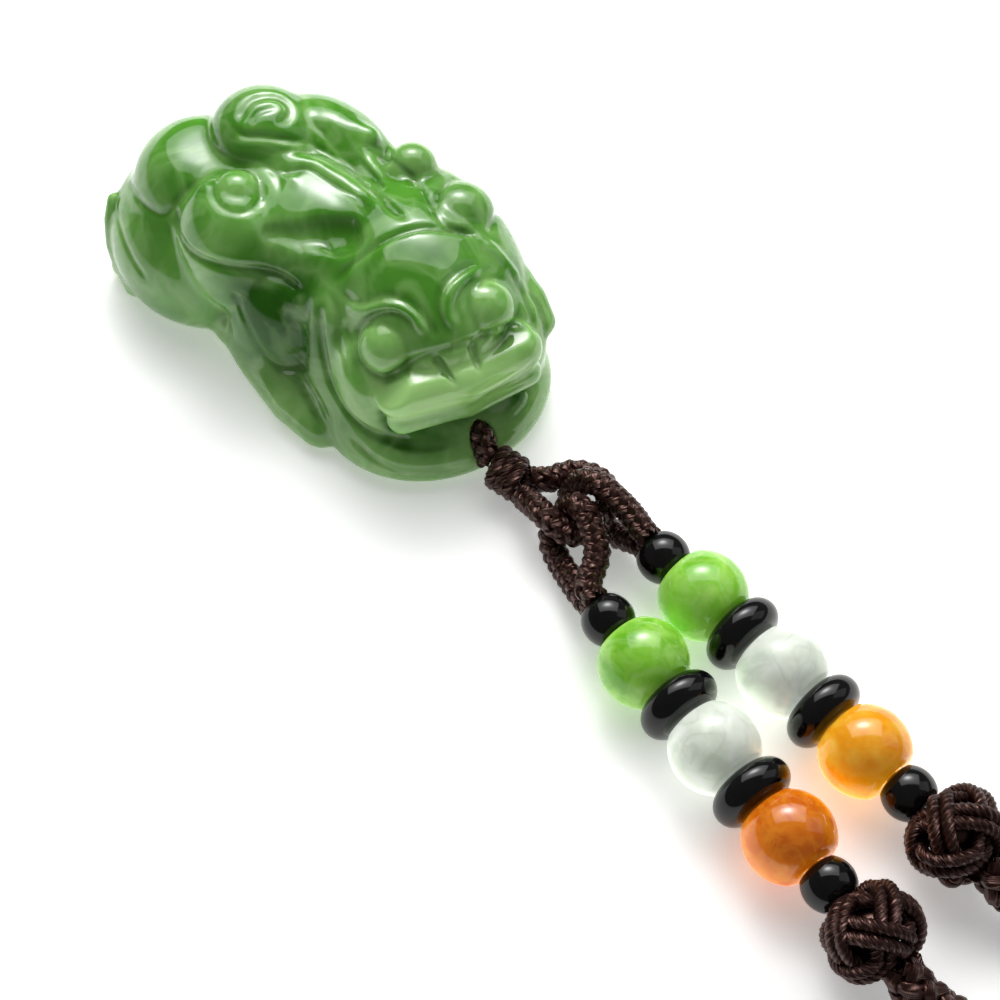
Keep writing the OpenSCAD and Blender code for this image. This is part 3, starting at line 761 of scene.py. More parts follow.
# Knobs, columns: x y z, radius as a share of the height, softness in mm
knobs = (
    (-0.188, -0.14, 0.80, 0.105, 0.2),      # hip boss
    (0.055, 0.365, 0.825, 0.115, 0.9),      # upper mane curl
    (0.195, 0.32, 0.76, 0.165, 0.3),        # lower mane curl
    (-0.44, -0.37, 0.08, 0.08, 0.6),        # hind foot
    (-0.20, 0.40, 0.42, 0.16, 1.2),         # far hip boss
    (-0.01, 0.36, 0.62, 0.15, 1.2),         # root of the upper curl
    (-0.15, -0.32, 0.10, 0.11, 1.5),        # between hind leg and forearm
)
# Masses of the head in the head's own frame, as shares of its length and width and the carving's height
headMasses = (
    (-0.07, 0.02, 0.54, 0.52, 0.42, 0.415, 0, 2, 0),   # skull
    (0.18, -0.02, 0.10, 0.44, 0.56, 0.25, 0, 1, 0),    # lower jaw
    (0.17, -0.36, 0.34, 0.20, 0.14, 0.30, 0, 1.5, 0),  # near cheek
    (0.20, 0.38, 0.34, 0.20, 0.13, 0.26, 0, 1.5, 0),   # far cheek
    (0.265, 0.03, 0.42, 0.175, 0.36, 0.195, 0, 1.3, 0),  # muzzle
)
# Raised bands: softness in mm, then points with x y z and a radius as a share of the height
bodyRidges = (
    # near forearm and its root
    (1.0, ((-0.13, -0.33, 0.10, 0.11), (-0.04, -0.39, 0.09, 0.12), (0.07, -0.45, 0.08, 0.125),
           (0.15, -0.465, 0.07, 0.12))),
    (1.5, ((-0.06, -0.34, 0.14, 0.13), (0.02, -0.36, 0.14, 0.13), (0.10, -0.36, 0.12, 0.13))),
    # cheek's mane
    (2.0, ((0.11, -0.25, 0.60, 0.11), (0.13, -0.33, 0.32, 0.12), (0.19, -0.36, 0.20, 0.13),
           (0.26, -0.37, 0.15, 0.13))),
    # strand along the back and the side under it
    (0.6, ((-0.226, 0.035, 0.80, 0.06), (-0.158, 0.075, 0.82, 0.06), (-0.09, 0.12, 0.82, 0.065),
           (-0.026, 0.12, 0.82, 0.07), (0.039, 0.105, 0.81, 0.07), (0.083, 0.08, 0.78, 0.06))),
    (1.2, ((-0.19, -0.02, 0.71, 0.09), (-0.114, 0.00, 0.71, 0.09), (-0.051, 0.03, 0.70, 0.10),
           (0.01, 0.055, 0.69, 0.09))),
    # thigh to cheek
    (0.8, ((-0.12, -0.28, 0.52, 0.11), (-0.02, -0.26, 0.55, 0.10), (0.06, -0.24, 0.55, 0.10),
           (0.11, -0.24, 0.56, 0.09))),
    # tail's tip
    (0.6, ((-0.13, 0.33, 0.81, 0.06), (-0.09, 0.36, 0.825, 0.06), (-0.065, 0.37, 0.825, 0.058))),
    # strand from the tail's tip to the leaf
    (0.8, ((-0.09, 0.29, 0.78, 0.07), (-0.03, 0.28, 0.77, 0.07), (0.03, 0.24, 0.785, 0.065),
           (0.09, 0.19, 0.81, 0.06))),
    # rim of the hind leg
    (0.8, ((-0.485, -0.30, 0.42, 0.03), (-0.475, -0.35, 0.34, 0.035), (-0.45, -0.40, 0.25, 0.04),
           (-0.42, -0.43, 0.16, 0.04), (-0.385, -0.45, 0.08, 0.04))),
    # cheek curls
    (0.8, ((0.34, 0.34, 0.52, 0.07), (0.38, 0.31, 0.49, 0.08), (0.42, 0.28, 0.44, 0.07))),
    # far forearm
    (0.8, ((-0.06, 0.36, 0.12, 0.12), (0.06, 0.40, 0.10, 0.12), (0.18, 0.38, 0.09, 0.11))),
)
# Lips in the head's frame, from the upper slope to the pale edge: softness and how much of the top is
# polished flat in mm, then u v z and a share of the lip's thickness
lips = (
    (0.9, 0, ((0.31, -0.27, 0.50, 0.84), (0.34, 0, 0.51, 0.80), (0.32, 0.26, 0.50, 0.76))),
    (0.5, 0.55, ((0.37, -0.27, 0.52, 1.04), (0.41, 0, 0.525, 1.06), (0.385, 0.29, 0.52, 1.0))),
    (0.5, 0, ((0.425, -0.29, 0.395, 0.64), (0.46, 0, 0.395, 0.66), (0.435, 0.31, 0.39, 0.62))),
)
# Eyes, with their middles in the photo's pixels and sizes in mm. A large ball, given by its radius and how
# far off it stands, cuts a shallow bowl. A groove goes round it, and the eye's ball is sunk against its look
eyes = {
    "places": ((388, 344), (485, 307)), "look": (0.31, -0.4, 0.86), "radius": 3.25, "sunk": 1.9, "soft": 0.2,
    "bowl": (8, 7.7), "bowlSoft": 0.6, "ring": 2.95, "ringWidth": 0.32, "ringOff": 0.05, "ringSoft": 0.3,
    "ringPoints": 25,
}

# Carved lines by where they lie in the photo's pixels, each with its half width and how far its middle stands
# off the surface in mm: outward for a groove, inward for a ridge. They are cast from the camera on the stone
grooves = (
    # curled tail: its valley, which ends in the hook, and the inner line
    (0.85, 0.40, ((239, 125), (242, 112), (250, 101), (260, 97), (273, 96), (284, 100), (290, 108),
                  (289, 115), (283, 120), (274, 124))),
    (0.40, 0.10, ((250, 132), (251, 121), (258, 112), (270, 108), (281, 109))),
    # edge between tail and back
    (0.50, 0.10, ((232, 127), (243, 135), (262, 136), (285, 139), (306, 143))),
    (0.45, 0.10, ((306, 143), (330, 155), (350, 170), (368, 187), (385, 205), (404, 220))),
    # mane
    (0.45, 0.12, ((311, 118), (321, 130), (335, 146), (352, 166), (370, 186), (388, 202), (408, 221))),
    (0.50, 0.15, ((324, 119), (333, 131), (345, 148), (358, 163), (372, 178), (386, 192))),
    (0.40, 0.10, ((338, 125), (347, 140), (358, 156), (372, 174), (384, 189))),
    # leaf's far edge and the rings of the curls
    (0.45, 0.10, ((389, 144), (388, 157), (400, 168), (414, 180), (423, 188), (429, 200), (433, 215))),
    (0.50, 0.12, ((456, 176), (443, 186), (436, 202), (438, 216), (448, 225), (464, 231), (479, 234))),
    (0.45, 0.12, ((456, 176), (473, 181), (488, 193), (496, 209), (494, 222), (486, 234))),
    # buttock's fold
    (0.55, 0.22, ((128, 182), (136, 196), (150, 210), (163, 215), (176, 203), (188, 189), (202, 178))),
    # hip's ring, outer arc and small ring
    (0.35, 0.05, ((213, 181), (212, 192), (218, 204), (229, 211), (244, 212), (255, 206), (262, 195),
                  (262, 182))),
    (0.40, 0.10, ((262, 164), (271, 169), (279, 181), (278, 197))),
    # lower edge of the back's strand
    (0.50, 0.18, ((275, 169), (289, 172), (302, 168), (311, 169), (323, 177), (340, 188), (358, 198),
                  (368, 215))),
    # under the thigh and its band
    (0.70, 0.20, ((180, 206), (177, 220), (179, 236), (188, 250), (203, 260), (222, 266), (241, 269),
                  (261, 271), (279, 276), (292, 284), (303, 293))),
    # flank
    (0.35, 0.05, ((299, 245), (302, 250), (305, 256))),
    (0.40, 0.10, ((323, 238), (327, 247), (335, 253), (346, 254), (353, 249))),
    # rump's crease beside the flank
    (0.45, 0.15, ((114, 203), (122, 235), (134, 262), (150, 285))),
    # foreleg and claws
    (0.55, 0.15, ((233, 290), (243, 318), (261, 352), (284, 368), (309, 366))),
    (0.40, 0.10, ((291, 371), (304, 389), (316, 413), (326, 429))),
    (0.38, 0.10, ((304, 373), (319, 400), (330, 424))),
    # cheek
    (0.70, 0.22, ((321, 302), (319, 324), (323, 355), (332, 388), (347, 413), (369, 432), (396, 440),
                  (418, 443))),
    (0.35, 0.14, ((327, 290), (334, 305), (340, 322), (339, 340), (345, 361), (349, 384))),
    (0.30, 0.12, ((348, 322), (350, 340), (356, 362), (366, 382))),
    # head's upper edge
    (0.55, 0.12, ((335, 284), (348, 266), (366, 252), (386, 239), (409, 230), (430, 227), (455, 231),
                  (478, 236))),
    (0.35, 0.08, ((476, 240), (483, 251), (484, 262))),
    # forehead side of the brows
    (0.60, 0.22, ((341, 290), (350, 300), (362, 303), (384, 297), (403, 300), (419, 311), (432, 328),
                  (440, 343))),
    (0.60, 0.22, ((455, 338), (442, 322), (438, 305), (442, 290), (451, 278), (465, 268), (480, 262))),
    # eye side of the near brow
    (0.42, 0.02, ((354, 344), (357, 332), (366, 321), (378, 315), (393, 313), (407, 320), (416, 334))),
    # inner lines of the far brow
    (0.35, 0.10, ((464, 325), (457, 314), (460, 296), (471, 279), (483, 272), (497, 268))),
    (0.30, 0.10, ((470, 320), (465, 308), (469, 290), (480, 280), (497, 277), (509, 283), (517, 295))),
    # cheek's edge by the far eye
    (0.40, 0.12, ((506, 262), (516, 281), (526, 300), (532, 318), (534, 334))),
    # over the lip
    (0.55, 0.15, ((380, 386), (397, 371), (420, 358), (443, 351), (468, 343), (491, 332), (512, 325),
                  (528, 328))),
    # between the roll and its pale edge
    (0.35, 0.12, ((392, 416), (420, 409), (448, 403), (478, 397), (500, 386), (520, 374), (540, 357))),
    # jaw
    (0.35, 0.14, ((385, 441), (408, 447), (440, 447), (468, 440))),
    (0.45, 0.14, ((352, 437), (365, 452), (385, 466), (409, 473), (443, 473), (469, 466))),
    # far cheek curls
    (0.40, 0.12, ((518, 268), (524, 286), (534, 300), (541, 310), (545, 326), (544, 342))),
)
ridges = (
    # rim of the back's strand
    (0.55, 0.25, ((275, 145), (296, 146), (320, 153), (343, 167), (362, 184), (376, 200), (383, 211))),
    # hook at the hip
    (0.50, 0.15, ((196, 194), (199, 188), (205, 186), (210, 190))),
    # brows
    (1.20, 0.75, ((345, 298), (352, 306), (366, 308), (384, 304), (401, 307), (415, 318), (430, 336))),
    (1.00, 0.60, ((459, 332), (448, 320), (445, 305), (449, 292), (458, 282), (469, 274), (482, 268))),
    # far edge of the head
    (0.60, 0.25, ((482, 238), (496, 251), (512, 270), (523, 289), (532, 307), (537, 323))),
    # ledge on the back
    (0.50, 0.20, ((291, 171), (293, 179), (295, 188))),
    # right rim of the mouth
    (0.50, 0.20, ((523, 388), (522, 397), (514, 409), (503, 417))),
)
# Hollows by chains of balls, cast in the same way: softness in mm, then pixels with a radius and how far it
# stands off in mm
hollows = (
    (0.7, ((275, 233, 1.2, 0.7), (300, 235, 2.0, 1.1), (322, 233, 2.6, 1.2), (341, 233, 2.7, 1.1),
           (350, 241, 2.0, 1.0))),  # flank
    (0.8, ((410, 442, 1.5, 1.1), (432, 440, 1.6, 1.2), (454, 434, 1.5, 1.3))),  # mouth
)
# Cuts over the nostrils, from their wide upper end to the point, in the photo's pixels. The rest is in mm,
# apart from the point's share of the width
nostrils = {
    "wide": 0.6, "point": 0.35, "lift": -0.1, "soft": 0.15,
    "cuts": (((437, 361), (446, 372), (457, 385)), ((473, 347), (476, 360), (481, 372))),
}

# Painted shade and light on the carving: spots where the green is darkened and its reflections dulled as
# painted shade, deeper below 0, and paled and made to glow as painted light above 0, each by a pixel of the
# photo, a radius in mm and how much
stoneTones = (
    (283, 322, 6.5, -0.8), (300, 352, 4.5, -0.7), (262, 300, 4.0, -0.7), (338, 236, 3.5, -0.5),
    (470, 425, 4.0, -0.5), (430, 440, 4.0, -0.4), (205, 172, 4.0, -0.5), (420, 160, 3.0, -0.3),
    (466, 215, 3.5, -0.35), (365, 215, 3.0, -0.3), (445, 250, 4.0, -0.25), (330, 440, 4.0, -0.4),
    (508, 404, 2.5, -0.7), (290, 300, 4.0, -0.5), (393, 412, 4.0, 0.8), (430, 400, 4.0, 0.9),
    (470, 388, 4.0, 0.9), (512, 372, 4.0, 0.8), (387, 350, 3.0, 0.25), (350, 350, 4.0, 0.3),
    (491, 308, 3.0, 0.3), (360, 320, 3.0, 0.3), (235, 240, 4.0, 0.25), (200, 285, 6.0, 0.25),
    (120, 240, 4.0, 0.3),
)
# The block that the stone is cut from, in mm: the field's step, its ends as shares of the carving, and the
# room round them. probe is the slope's reach in steps, and blur and relax count how often the field and its
# mesh are smoothed. A large ball of flatRadius polishes a top flat, facing facet, and a plane does so on the
# lips, facing lipFacet. tiny keeps a divisor off zero
stoneGrid = {
    "step": 0.28, "low": (-0.53, -0.56, 0), "high": (0.53, 0.58, 1), "room": 2.5, "margin": 5, "outside": 40,
    "probe": 0.75, "blur": 1, "relax": 3, "flatRadius": 60, "flatEdge": 0.5,
    "facet": (0.0, 0.05, 1.0), "lipFacet": (-0.06, 0.055, 1.0), "tiny": 1e-9,
}


# A block of stone as a field of distances from its surface in mm, negative inside. Forms are added or carved
# away with a soft join
class Stone:
    def __init__(self, low, high, step):
        self.low, self.step = np.array(low, float), step
        self.count = np.ceil((np.array(high) - self.low) / step).astype(int) + 1
        self.axes = [(self.low[i] + step * np.arange(self.count[i])).astype(np.float32) for i in range(3)]
        self.far = np.full(self.count, stoneGrid["outside"], np.float32)

    # The part of the field between two corners, and the coordinates of its points
    def window(self, low, high):
        first = np.clip(np.floor((low - self.low) / self.step).astype(int), 0, self.count - 1)
        last = np.clip(np.ceil((high - self.low) / self.step).astype(int) + 1, 1, self.count)
        part = tuple(slice(a, b) for a, b in zip(first, last))
        x, y, z = (self.axes[i][part[i]] for i in range(3))
        return part, x[:, None, None], y[None, :, None], z[None, None, :]

    def join(self, part, shape, soft, carve):
        here = self.far[part]
        if carve:
            near = np.maximum(soft - np.abs(here + shape), 0) / soft
            self.far[part] = np.maximum(here, -shape) + near * near * soft / 4
        else:
            near = np.maximum(soft - np.abs(here - shape), 0) / soft
            self.far[part] = np.minimum(here, shape) - near * near * soft / 4

    # A ball or an ellipsoid turned about the vertical, with flat mm polished off its top
    def ball(self, centre, radii, degrees=0, soft=1, carve=False, flat=0):
        c, s = math.cos(math.radians(degrees)), math.sin(math.radians(degrees))
        reach = [math.hypot(c * radii[0], s * radii[1]), math.hypot(s * radii[0], c * radii[1]), radii[2]]
        margin = stoneGrid["margin"]
        part, x, y, z = self.window(centre - reach - margin, centre + reach + margin)
        x, y, z = x - np.float32(centre[0]), y - np.float32(centre[1]), z - np.float32(centre[2])
        u, v, w = (c * x + s * y) / radii[0], (c * y - s * x) / radii[1], z / radii[2]
        # an ellipsoid's distance, near enough, with its middle kept off zero
        size = np.sqrt(u * u + v * v + w * w) + 1e-4
        slope = np.sqrt((u / radii[0]) ** 2 + (v / radii[1]) ** 2 + (w / radii[2]) ** 2) + 1e-6
        shape = (size * (size - 1) / slope).astype(np.float32)
        if flat:
            facet = unit(stoneGrid["facet"])
            touch = facet * radii ** 2 / np.linalg.norm(facet * radii)
            height = facet[0] * x + facet[1] * y + facet[2] * z - facet @ touch
            away = (x - touch[0]) ** 2 + (y - touch[1]) ** 2 + (z - touch[2]) ** 2 - height ** 2
            top = (height + flat + away / (2 * stoneGrid["flatRadius"])).astype(np.float32)
            edge = stoneGrid["flatEdge"]
            near = np.maximum(edge - np.abs(shape - top), 0) / edge
            shape = np.maximum(shape, top) + near * near * edge / 4
        self.join(part, shape.astype(np.float32), soft, carve)

    # A chain of balls by rows of x, y, z and radius, with flat mm polished off its top
    def chain(self, rows, soft=1, carve=False, flat=0):
        rows = np.array(rows, float)
        room = rows[:, 3].max() + 2 * soft + 1
        whole, *_ = self.window(rows[:, :3].min(0) - room, rows[:, :3].max(0) + room)
        shape = np.full(self.far[whole].shape, stoneGrid["outside"], np.float32)
        for a, b in zip(rows[:-1], rows[1:]):
            part, x, y, z = self.window(np.minimum(a, b)[:3] - room, np.maximum(a, b)[:3] + room)
            way = b[:3] - a[:3]
            x, y, z = x - np.float32(a[0]), y - np.float32(a[1]), z - np.float32(a[2])
            t = np.clip((x * way[0] + y * way[1] + z * way[2]) / (way @ way + stoneGrid["tiny"]), 0, 1)
            gap = np.sqrt((x - t * way[0]) ** 2 + (y - t * way[1]) ** 2 + (z - t * way[2]) ** 2)
            size = a[3] + t * (b[3] - a[3])
            gap -= size
            if flat:
                facet = unit(stoneGrid["lipFacet"])
                height = ((x - t * way[0]) * facet[0] + (y - t * way[1]) * facet[1]
                          + (z - t * way[2]) * facet[2])
                gap = np.maximum(gap, height - size + flat)
            inside = tuple(slice(p.start - q.start, p.stop - q.start) for p, q in zip(part, whole))
            shape[inside] = np.minimum(shape[inside], gap)
        self.join(whole, shape, soft, carve)

    def blur(self, times):
        for _ in range(times):
            for axis in range(3):
                f = np.moveaxis(self.far, axis, 0)
                f[1:-1] = f[:-2] / 4 + f[1:-1] / 2 + f[2:] / 4

    # The field at the points, from the eight values round each
    def depth(self, points):
        q = (points - self.low) / self.step
        i = np.clip(np.floor(q).astype(int), 0, self.count - 2)
        f = np.clip(q - i, 0, 1)
        total = 0
        for corner in np.ndindex(2, 2, 2):
            weight = np.prod(np.where(np.array(corner) == 1, f, 1 - f), axis=1)
            total = total + weight * self.far[tuple((i + corner).T)]
        return total

    # The way out of the stone at the points
    def slope(self, points):
        pieces = []
        for axis in np.eye(3) * self.step * stoneGrid["probe"]:
            pieces.append(self.depth(points + axis) - self.depth(points - axis))
        slope = np.array(pieces).T
        return slope / (np.linalg.norm(slope, axis=1)[:, None] + stoneGrid["tiny"])

    # The points moved onto the surface
    def settle(self, points, times=3):
        for _ in range(times):
            points = points - self.slope(points) * self.depth(points)[:, None]
        return points


# How a point is cast: it starts this far before the camera's target, in mm, and goes on by a share of the
# distance that is left, within limits
casting = {"start": 60, "steps": 120, "share": 0.7, "least": -1, "most": 1.5}


# Where the points of the photo, in its pixels, lie on the stone
def seenAt(stone, pixels):
    back = towardCamera()
    heading = math.radians(photo["heading"])
    right = np.array([math.cos(heading), math.sin(heading), 0])
    up = np.cross(back, right)
    eye = np.array(photo["target"]) + back * photo["distance"]
    half = photo["halfPicture"]
    p = (np.array(pixels, float) - half) / half * photo["halfTangent"]
    way = units(p[:, :1] * right - p[:, 1:] * up - back)
    at = eye + way * (photo["distance"] - casting["start"])
    for _ in range(casting["steps"]):
        ahead = stone.depth(at) * casting["share"]
        at = at + way * np.clip(ahead, casting["least"], casting["most"])[:, None]
    return at


# Carved lines: the step of their points in pixels, the length in mm over which an end fades and how, the
# share of the radius that is left there, how far the end rises, and their softness in mm
lineLook = {
    "step": 2.5, "fade": 1.5, "power": 0.6, "end": 0.4, "rise": 0.9, "grooveSoft": 0.25, "ridgeSoft": 0.4,
}


# A line along the stone's surface, as a groove or a ridge that fades at both ends
def carveLine(stone, pixels, radius, off, carve):
    at = stone.settle(seenAt(stone, smoothPath(pixels, lineLook["step"])))
    at[1:-1] = (at[:-2] + 2 * at[1:-1] + at[2:]) / 4
    at = stone.settle(at, 2)
    along = np.r_[0, np.cumsum(np.linalg.norm(np.diff(at, axis=0), axis=1))]
    fade = np.clip(np.minimum(along, along[-1] - along) / lineLook["fade"], 0, 1) ** lineLook["power"]
    size = radius * (lineLook["end"] + (1 - lineLook["end"]) * fade)
    shift = off + (radius - size) * lineLook["rise"]
    at = at + stone.slope(at) * shift[:, None] * (1 if carve else -1)
    stone.chain(np.c_[at, size], lineLook["grooveSoft" if carve else "ridgeSoft"], carve)


# The bore's chain goes on past the mouth, and its edge is soft, in mm
boreCut = {"past": 0.6, "soft": 0.2}


def makeStone():
    size = np.array([carving["length"], carving["width"], carving["height"]], float)
    room = stoneGrid["room"]
    stone = Stone(size * stoneGrid["low"] - room, size * stoneGrid["high"] + room, stoneGrid["step"])
    headSize = np.array([carving["headLength"], carving["headWidth"], carving["height"]], float)
    for x, y, z, a, b, c, degrees, soft, flat in bodyMasses:
        stone.ball(size * (x, y, z), size * (a, b, c), degrees, soft, False, flat)
    for x, y, z, a, b, c, degrees, soft, flat in headMasses:
        middle = headPoint(x, y, z * carving["height"])
        stone.ball(middle, headSize * (a, b, c), carving["headTurn"] + degrees, soft, False, flat)
    for x, y, z, radius, soft in knobs:
        stone.ball(size * (x, y, z), np.full(3, radius * carving["height"]), 0, soft)
    for soft, points in bodyRidges:
        stone.chain([(*(size * p[:3]), p[3] * carving["height"]) for p in points], soft)
    for soft, flat, points in lips:
        rows = [(*headPoint(u, v, z * carving["height"]), share * carving["lip"] / 2)
                for u, v, z, share in points]
        stone.chain(rows, soft, False, flat)
    for soft, points in hollows:
        at = stone.settle(seenAt(stone, [p[:2] for p in points]))
        radii, off = np.array([p[2:] for p in points]).T
        stone.chain(np.c_[at + stone.slope(at) * off[:, None], radii], soft, True)
    print("stone blocked out")
    for pixels in eyes["places"]:
        middle = stone.settle(seenAt(stone, [pixels]))
        out = stone.slope(middle)[0]
        look = unit(eyes["look"])
        ball = middle[0] - eyes["sunk"] * look
        middle = middle - eyes["sunk"] * (look - (look @ out) * out)
        side = unit(np.cross(out, (0, 0, 1)))
        rim = np.cross(out, side)
        turn = np.linspace(0, math.tau, eyes["ringPoints"])[:, None]
        ring = middle + eyes["ring"] * (np.cos(turn) * side + np.sin(turn) * rim)
        bowlSize, bowlOff = eyes["bowl"]
        stone.ball(middle[0] + bowlOff * out, np.full(3, bowlSize), 0, eyes["bowlSoft"], True)
        ring = stone.settle(ring)
        ring = ring + eyes["ringOff"] * stone.slope(ring)
        stone.chain(np.c_[ring, np.full(len(ring), eyes["ringWidth"])], eyes["ringSoft"], True)
        stone.ball(ball, np.full(3, eyes["radius"]), 0, eyes["soft"])
    for radius, off, pixels in ridges:
        carveLine(stone, pixels, radius, off, False)
    for radius, off, pixels in grooves:
        carveLine(stone, pixels, radius, off, True)
    for pixels in nostrils["cuts"]:
        at = stone.settle(seenAt(stone, pixels))
        at = at + stone.slope(at) * nostrils["lift"]
        wide = nostrils["wide"] * np.linspace(1, nostrils["point"], len(at))
        stone.chain(np.c_[at, wide], nostrils["soft"], True)
    stone.blur(stoneGrid["blur"])
    boreRadius = string["cordThick"] / 2 + string["gap"]
    bore = [(*(mouthAt + headAxis * way), boreRadius) for way in (-carving["boreLength"], 0, boreCut["past"])]
    stone.chain(bore, boreCut["soft"], True)
    stone.far = np.maximum(stone.far, -stone.axes[2][None, None, :])
    return stone


# Turns the field's surface into a mesh of quads, one corner for each cell that it passes through
def surfaceMesh(stone):
    far, inside = stone.far, stone.far < 0
    count = sum(inside[a:a - 1 or None, b:b - 1 or None, c:c - 1 or None].astype(np.int8)
                for a, b, c in np.ndindex(2, 2, 2))
    cells = np.argwhere((count > 0) & (count < 8))
    number = np.full(count.shape, -1)
    number[tuple(cells.T)] = np.arange(len(cells))
    # a cell's corner lies midway between the surface's crossings of its edges
    total, hits = np.zeros((len(cells), 3)), np.zeros(len(cells))
    quads = []
    for axis in range(3):
        ahead = np.eye(3, dtype=int)[axis]
        first, second = np.eye(3, dtype=int)[(axis + 1) % 3], np.eye(3, dtype=int)[(axis + 2) % 3]
        for b, c in np.ndindex(2, 2):
            start = cells + b * first + c * second
            p, q = far[tuple(start.T)], far[tuple((start + ahead).T)]
            cross = (p < 0) != (q < 0)
            total[cross] += start[cross] + (p[cross] / (p[cross] - q[cross]))[:, None] * ahead
            hits += cross
        # and the four cells round a crossed edge make a quad
        low = np.moveaxis(inside, axis, 0)
        edges = np.argwhere(np.moveaxis(low[:-1] != low[1:], 0, axis))
        corners = [number[tuple((edges - u * first - v * second).T)]
                   for u, v in ((0, 0), (1, 0), (1, 1), (0, 1))]
        faces = np.array(corners).T
        outward = inside[tuple(edges.T)]
        faces[~outward] = faces[~outward][:, ::-1]
        quads.append(faces)
    quads = np.vstack(quads)
    points = stone.low + stone.step * total / hits[:, None]
    # corners are evened out between their neighbours and go back to the surface
    pairs = np.vstack([quads[:, [i, (i + 1) % 4]] for i in range(4)])
    many = np.bincount(pairs[:, 0], minlength=len(points))
    for _ in range(stoneGrid["relax"]):
        mean = np.array([np.bincount(pairs[:, 0], points[pairs[:, 1], i], len(points)) for i in range(3)]).T
        points = stone.settle((points + mean / many[:, None]) / 2, 1)
    points[:, 2] = np.maximum(points[:, 2], 0)
    return points, quads


# How far out the field is looked at for hollows, and how deep for thin stone, in mm
lookDepths = {"hollow": (0.8, 2, 4), "thin": 5}


# How hollow the surface is round each point and how thin the stone is under it, from 0 to 1, for painted
# shade in hollows and painted light where it is thin, and its painted tone, the sum of the painted shade and
# light spots
def stoneLooks(stone, points):
    out = stone.slope(points)
    tone = np.zeros(len(points))
    for x, y, radius, amount in stoneTones:
        away = np.linalg.norm(points - seenAt(stone, [(x, y)])[0], axis=1) / radius
        tone += amount * np.exp(-away ** 2)
    heights, deep = lookDepths["hollow"], lookDepths["thin"]
    hollow = sum(np.clip(1 - stone.depth(points + out * h) / h, 0, 1) for h in heights) / len(heights)
    thin = np.clip(1 + stone.depth(points - out * deep) / deep, 0, 1)
    return hollow, thin, tone


def quadMesh(name, points, quads):
    mesh = bpy.data.meshes.new(name)
    mesh.vertices.add(len(points))
    mesh.vertices.foreach_set("co", (points * mm).astype(np.float32).ravel())
    mesh.loops.add(quads.size)
    mesh.loops.foreach_set("vertex_index", quads.astype(np.int32).ravel())
    mesh.polygons.add(len(quads))
    mesh.polygons.foreach_set("loop_start", np.arange(0, quads.size, 4, dtype=np.int32))
    mesh.update(calc_edges=True)
    mesh.validate()
    mesh.shade_smooth()
    return mesh


def makeCarving(material):
    stone = makeStone()
    points, quads = surfaceMesh(stone)
    mesh = quadMesh("carvedStone", points, quads)
    # The carving keeps its hollowness, thinness and painted tone as attributes for its painted shade and
    # light
    for name, values in zip(("hollow", "thin", "tone"), stoneLooks(stone, points)):
        mesh.attributes.new(name, "FLOAT", "POINT").data.foreach_set("value", values.astype(np.float32))
    mesh.materials.append(material)
    return newObject("carvedStone", mesh)


# How the beads are turned, in mm: how soft their faces' edges are, how much of that the ball's arc leaves
# free, the disc's share of roundness and half its arc in radians, and the points of the arcs. A face is
# dished toward the bore, and its rings go by depth under the bead's end and distance from the bore
beadTurning = {
    "soft": 0.5, "smallSoft": 0.35, "free": 0.9, "ballPoints": 41, "discRound": 0.995, "discArc": 1.5,
    "discPoints": 29, "leastFace": 0.55, "dish": (0.02, 0.15),
    "rings": ((0.06, 0.3), (0.14, 0.12), (0.3, 0.02), (0.5, 0)),
}


# Profile of a bead from its bore's rear end to the front, as rows of distance along the strand and radius
def ballProfile(wide, long, soft):
    radius, half = wide / 2, long / 2
    flat = math.sqrt(radius ** 2 - half ** 2)
    rise = math.atan2(half, flat) - soft / radius * beadTurning["free"]
    arc = [(radius * math.sin(a), radius * math.cos(a))
           for a in np.linspace(-rise, rise, beadTurning["ballPoints"])]
    return roundedEnds(arc, half, flat, soft)


def discProfile(wide, long, soft):
    half, reach = long / 2, beadTurning["discArc"]
    middle = wide / 2 - half
    arc = [(half * beadTurning["discRound"] * math.sin(a), middle + half * math.cos(a))
           for a in np.linspace(-reach, reach, beadTurning["discPoints"])]
    return roundedEnds(arc, half, middle, soft)


def roundedEnds(rows, half, flat, soft):
    hole = beadSizes["bore"] / 2
    edge = max(flat - soft, hole + beadTurning["leastFace"])
    down, out = beadTurning["dish"]
    for side in (1, -1):
        part = [(side * half, edge), (side * (half - down), (edge + hole) / 2 + out)]
        part += [(side * (half - deep), hole + away) for deep, away in beadTurning["rings"]]
        rows = rows + part if side == 1 else part[::-1] + rows
    return rows


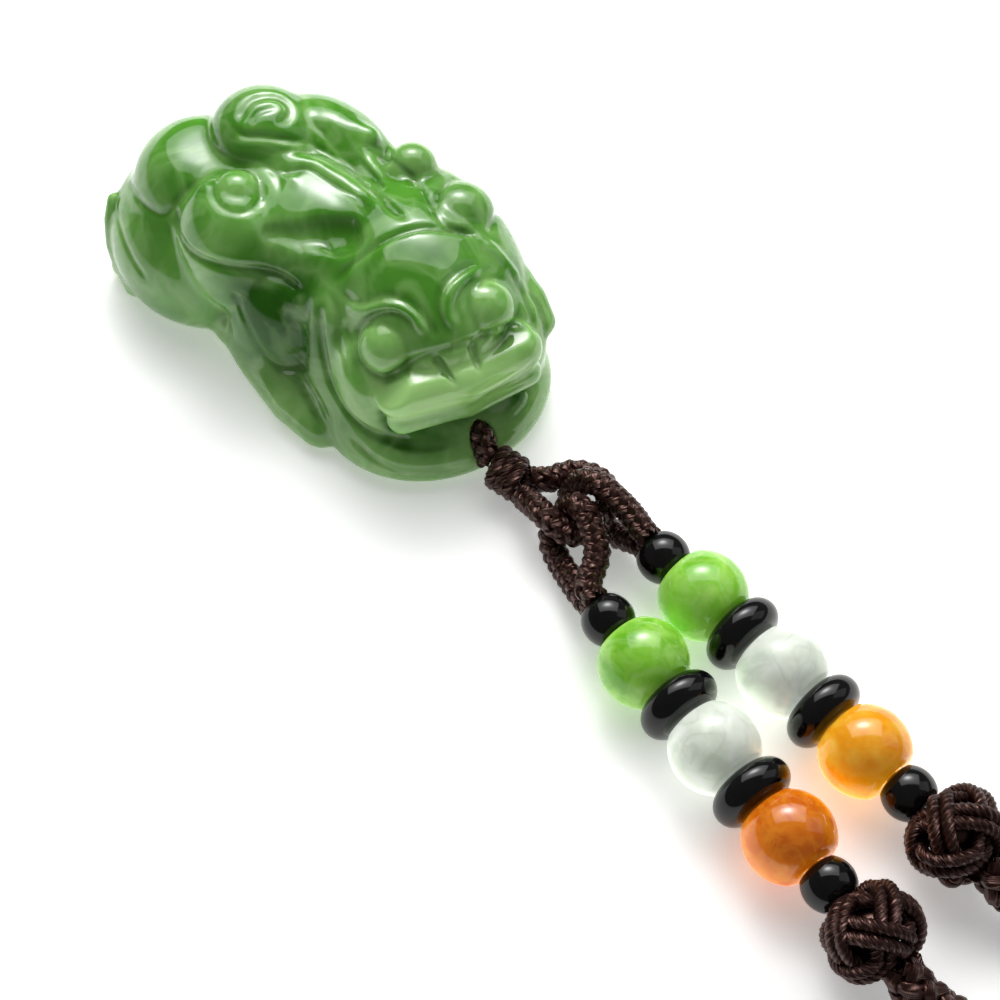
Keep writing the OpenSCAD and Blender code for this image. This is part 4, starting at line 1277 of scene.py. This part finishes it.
# Rows of distance along the axis and radius, turned round it and closed from the last to the first
def lathe(name, rows, centre, axis, material, around=72):
    across = unit(np.cross(axis, (0, 0, 1)))
    up = np.cross(across, axis)
    angle = np.linspace(0, math.tau, around, endpoint=False)
    points = [centre + s * axis + r * (math.cos(a) * across + math.sin(a) * up)
              for s, r in rows for a in angle]
    rings, quads = len(rows), []
    for i in range(rings):
        j = (i + 1) % rings
        for k in range(around):
            m = (k + 1) % around
            quads.append((i * around + k, j * around + k, j * around + m, i * around + m))
    mesh = quadMesh(name, np.array(points), np.array(quads))
    mesh.materials.append(material)
    return newObject(name, mesh)


blackKinds = ("first_black", "first_disc", "second_disc", "last_black")


def makeBeads(side, materials):
    pieces = {}
    for i, kind in enumerate(beadRow):
        long = pieceLengths[i]
        centre = strandPoint(side, strandBegin(i) + long / 2, threadHeight)
        if kind.endswith("disc"):
            rows = discProfile(beadSizes["discWide"], long, beadTurning["soft"])
        elif kind.endswith("black"):
            rows = ballProfile(beadSizes["smallWide"], long, beadTurning["smallSoft"])
        else:
            rows = ballProfile(beadSizes["roundWide"], long, beadTurning["soft"])
        node = side + "_" + kind
        material = materials.get(node, materials.get(kind))
        pieces[node] = lathe(node + "_bead", rows, centre, strandAxis(side), material)
    return pieces


cordMaterial = threadMaterial()
braidTree = makeBraidTree()
made = makeLoops(cordMaterial)
made["wrap_knot"] = makeWrap(cordMaterial)
made["neck_braid"] = makeNeckBraid(cordMaterial)
for side in strands:
    made[side + "_button"] = makeButton(side, cordMaterial)
print("cords braided")
made["jade_pixiu"] = makeCarving(stoneMaterial("greenJade", True))
print("stone carved")
beadMaterials = dict.fromkeys(blackKinds, blackMaterial())
beadMaterials.update({
    "green": stoneMaterial("greenBead"), "white": stoneMaterial("whiteBead"),
    "upper_amber": stoneMaterial("lightAmber"), "lower_amber": stoneMaterial("darkAmber"),
})
slots = {"jade_pixiu": "jade", "upper_amber": "light_amber", "lower_amber": "dark_amber"}
for side in strands:
    made.update(makeBeads(side, beadMaterials))
    slots[side + "_green"], slots[side + "_white"] = "green_stone", "white_stone"
    for kind in blackKinds:
        slots[side + "_" + kind] = "black_stone"
    thread = bpy.data.objects[side + "_thread"]
    thread.data.materials.clear()
    thread.data.materials.append(cordMaterial)
print("beads turned")
for node, piece in made.items():
    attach(piece, "root")
    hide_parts(node)
    print(piece.name, len(piece.data.polygons), "faces")
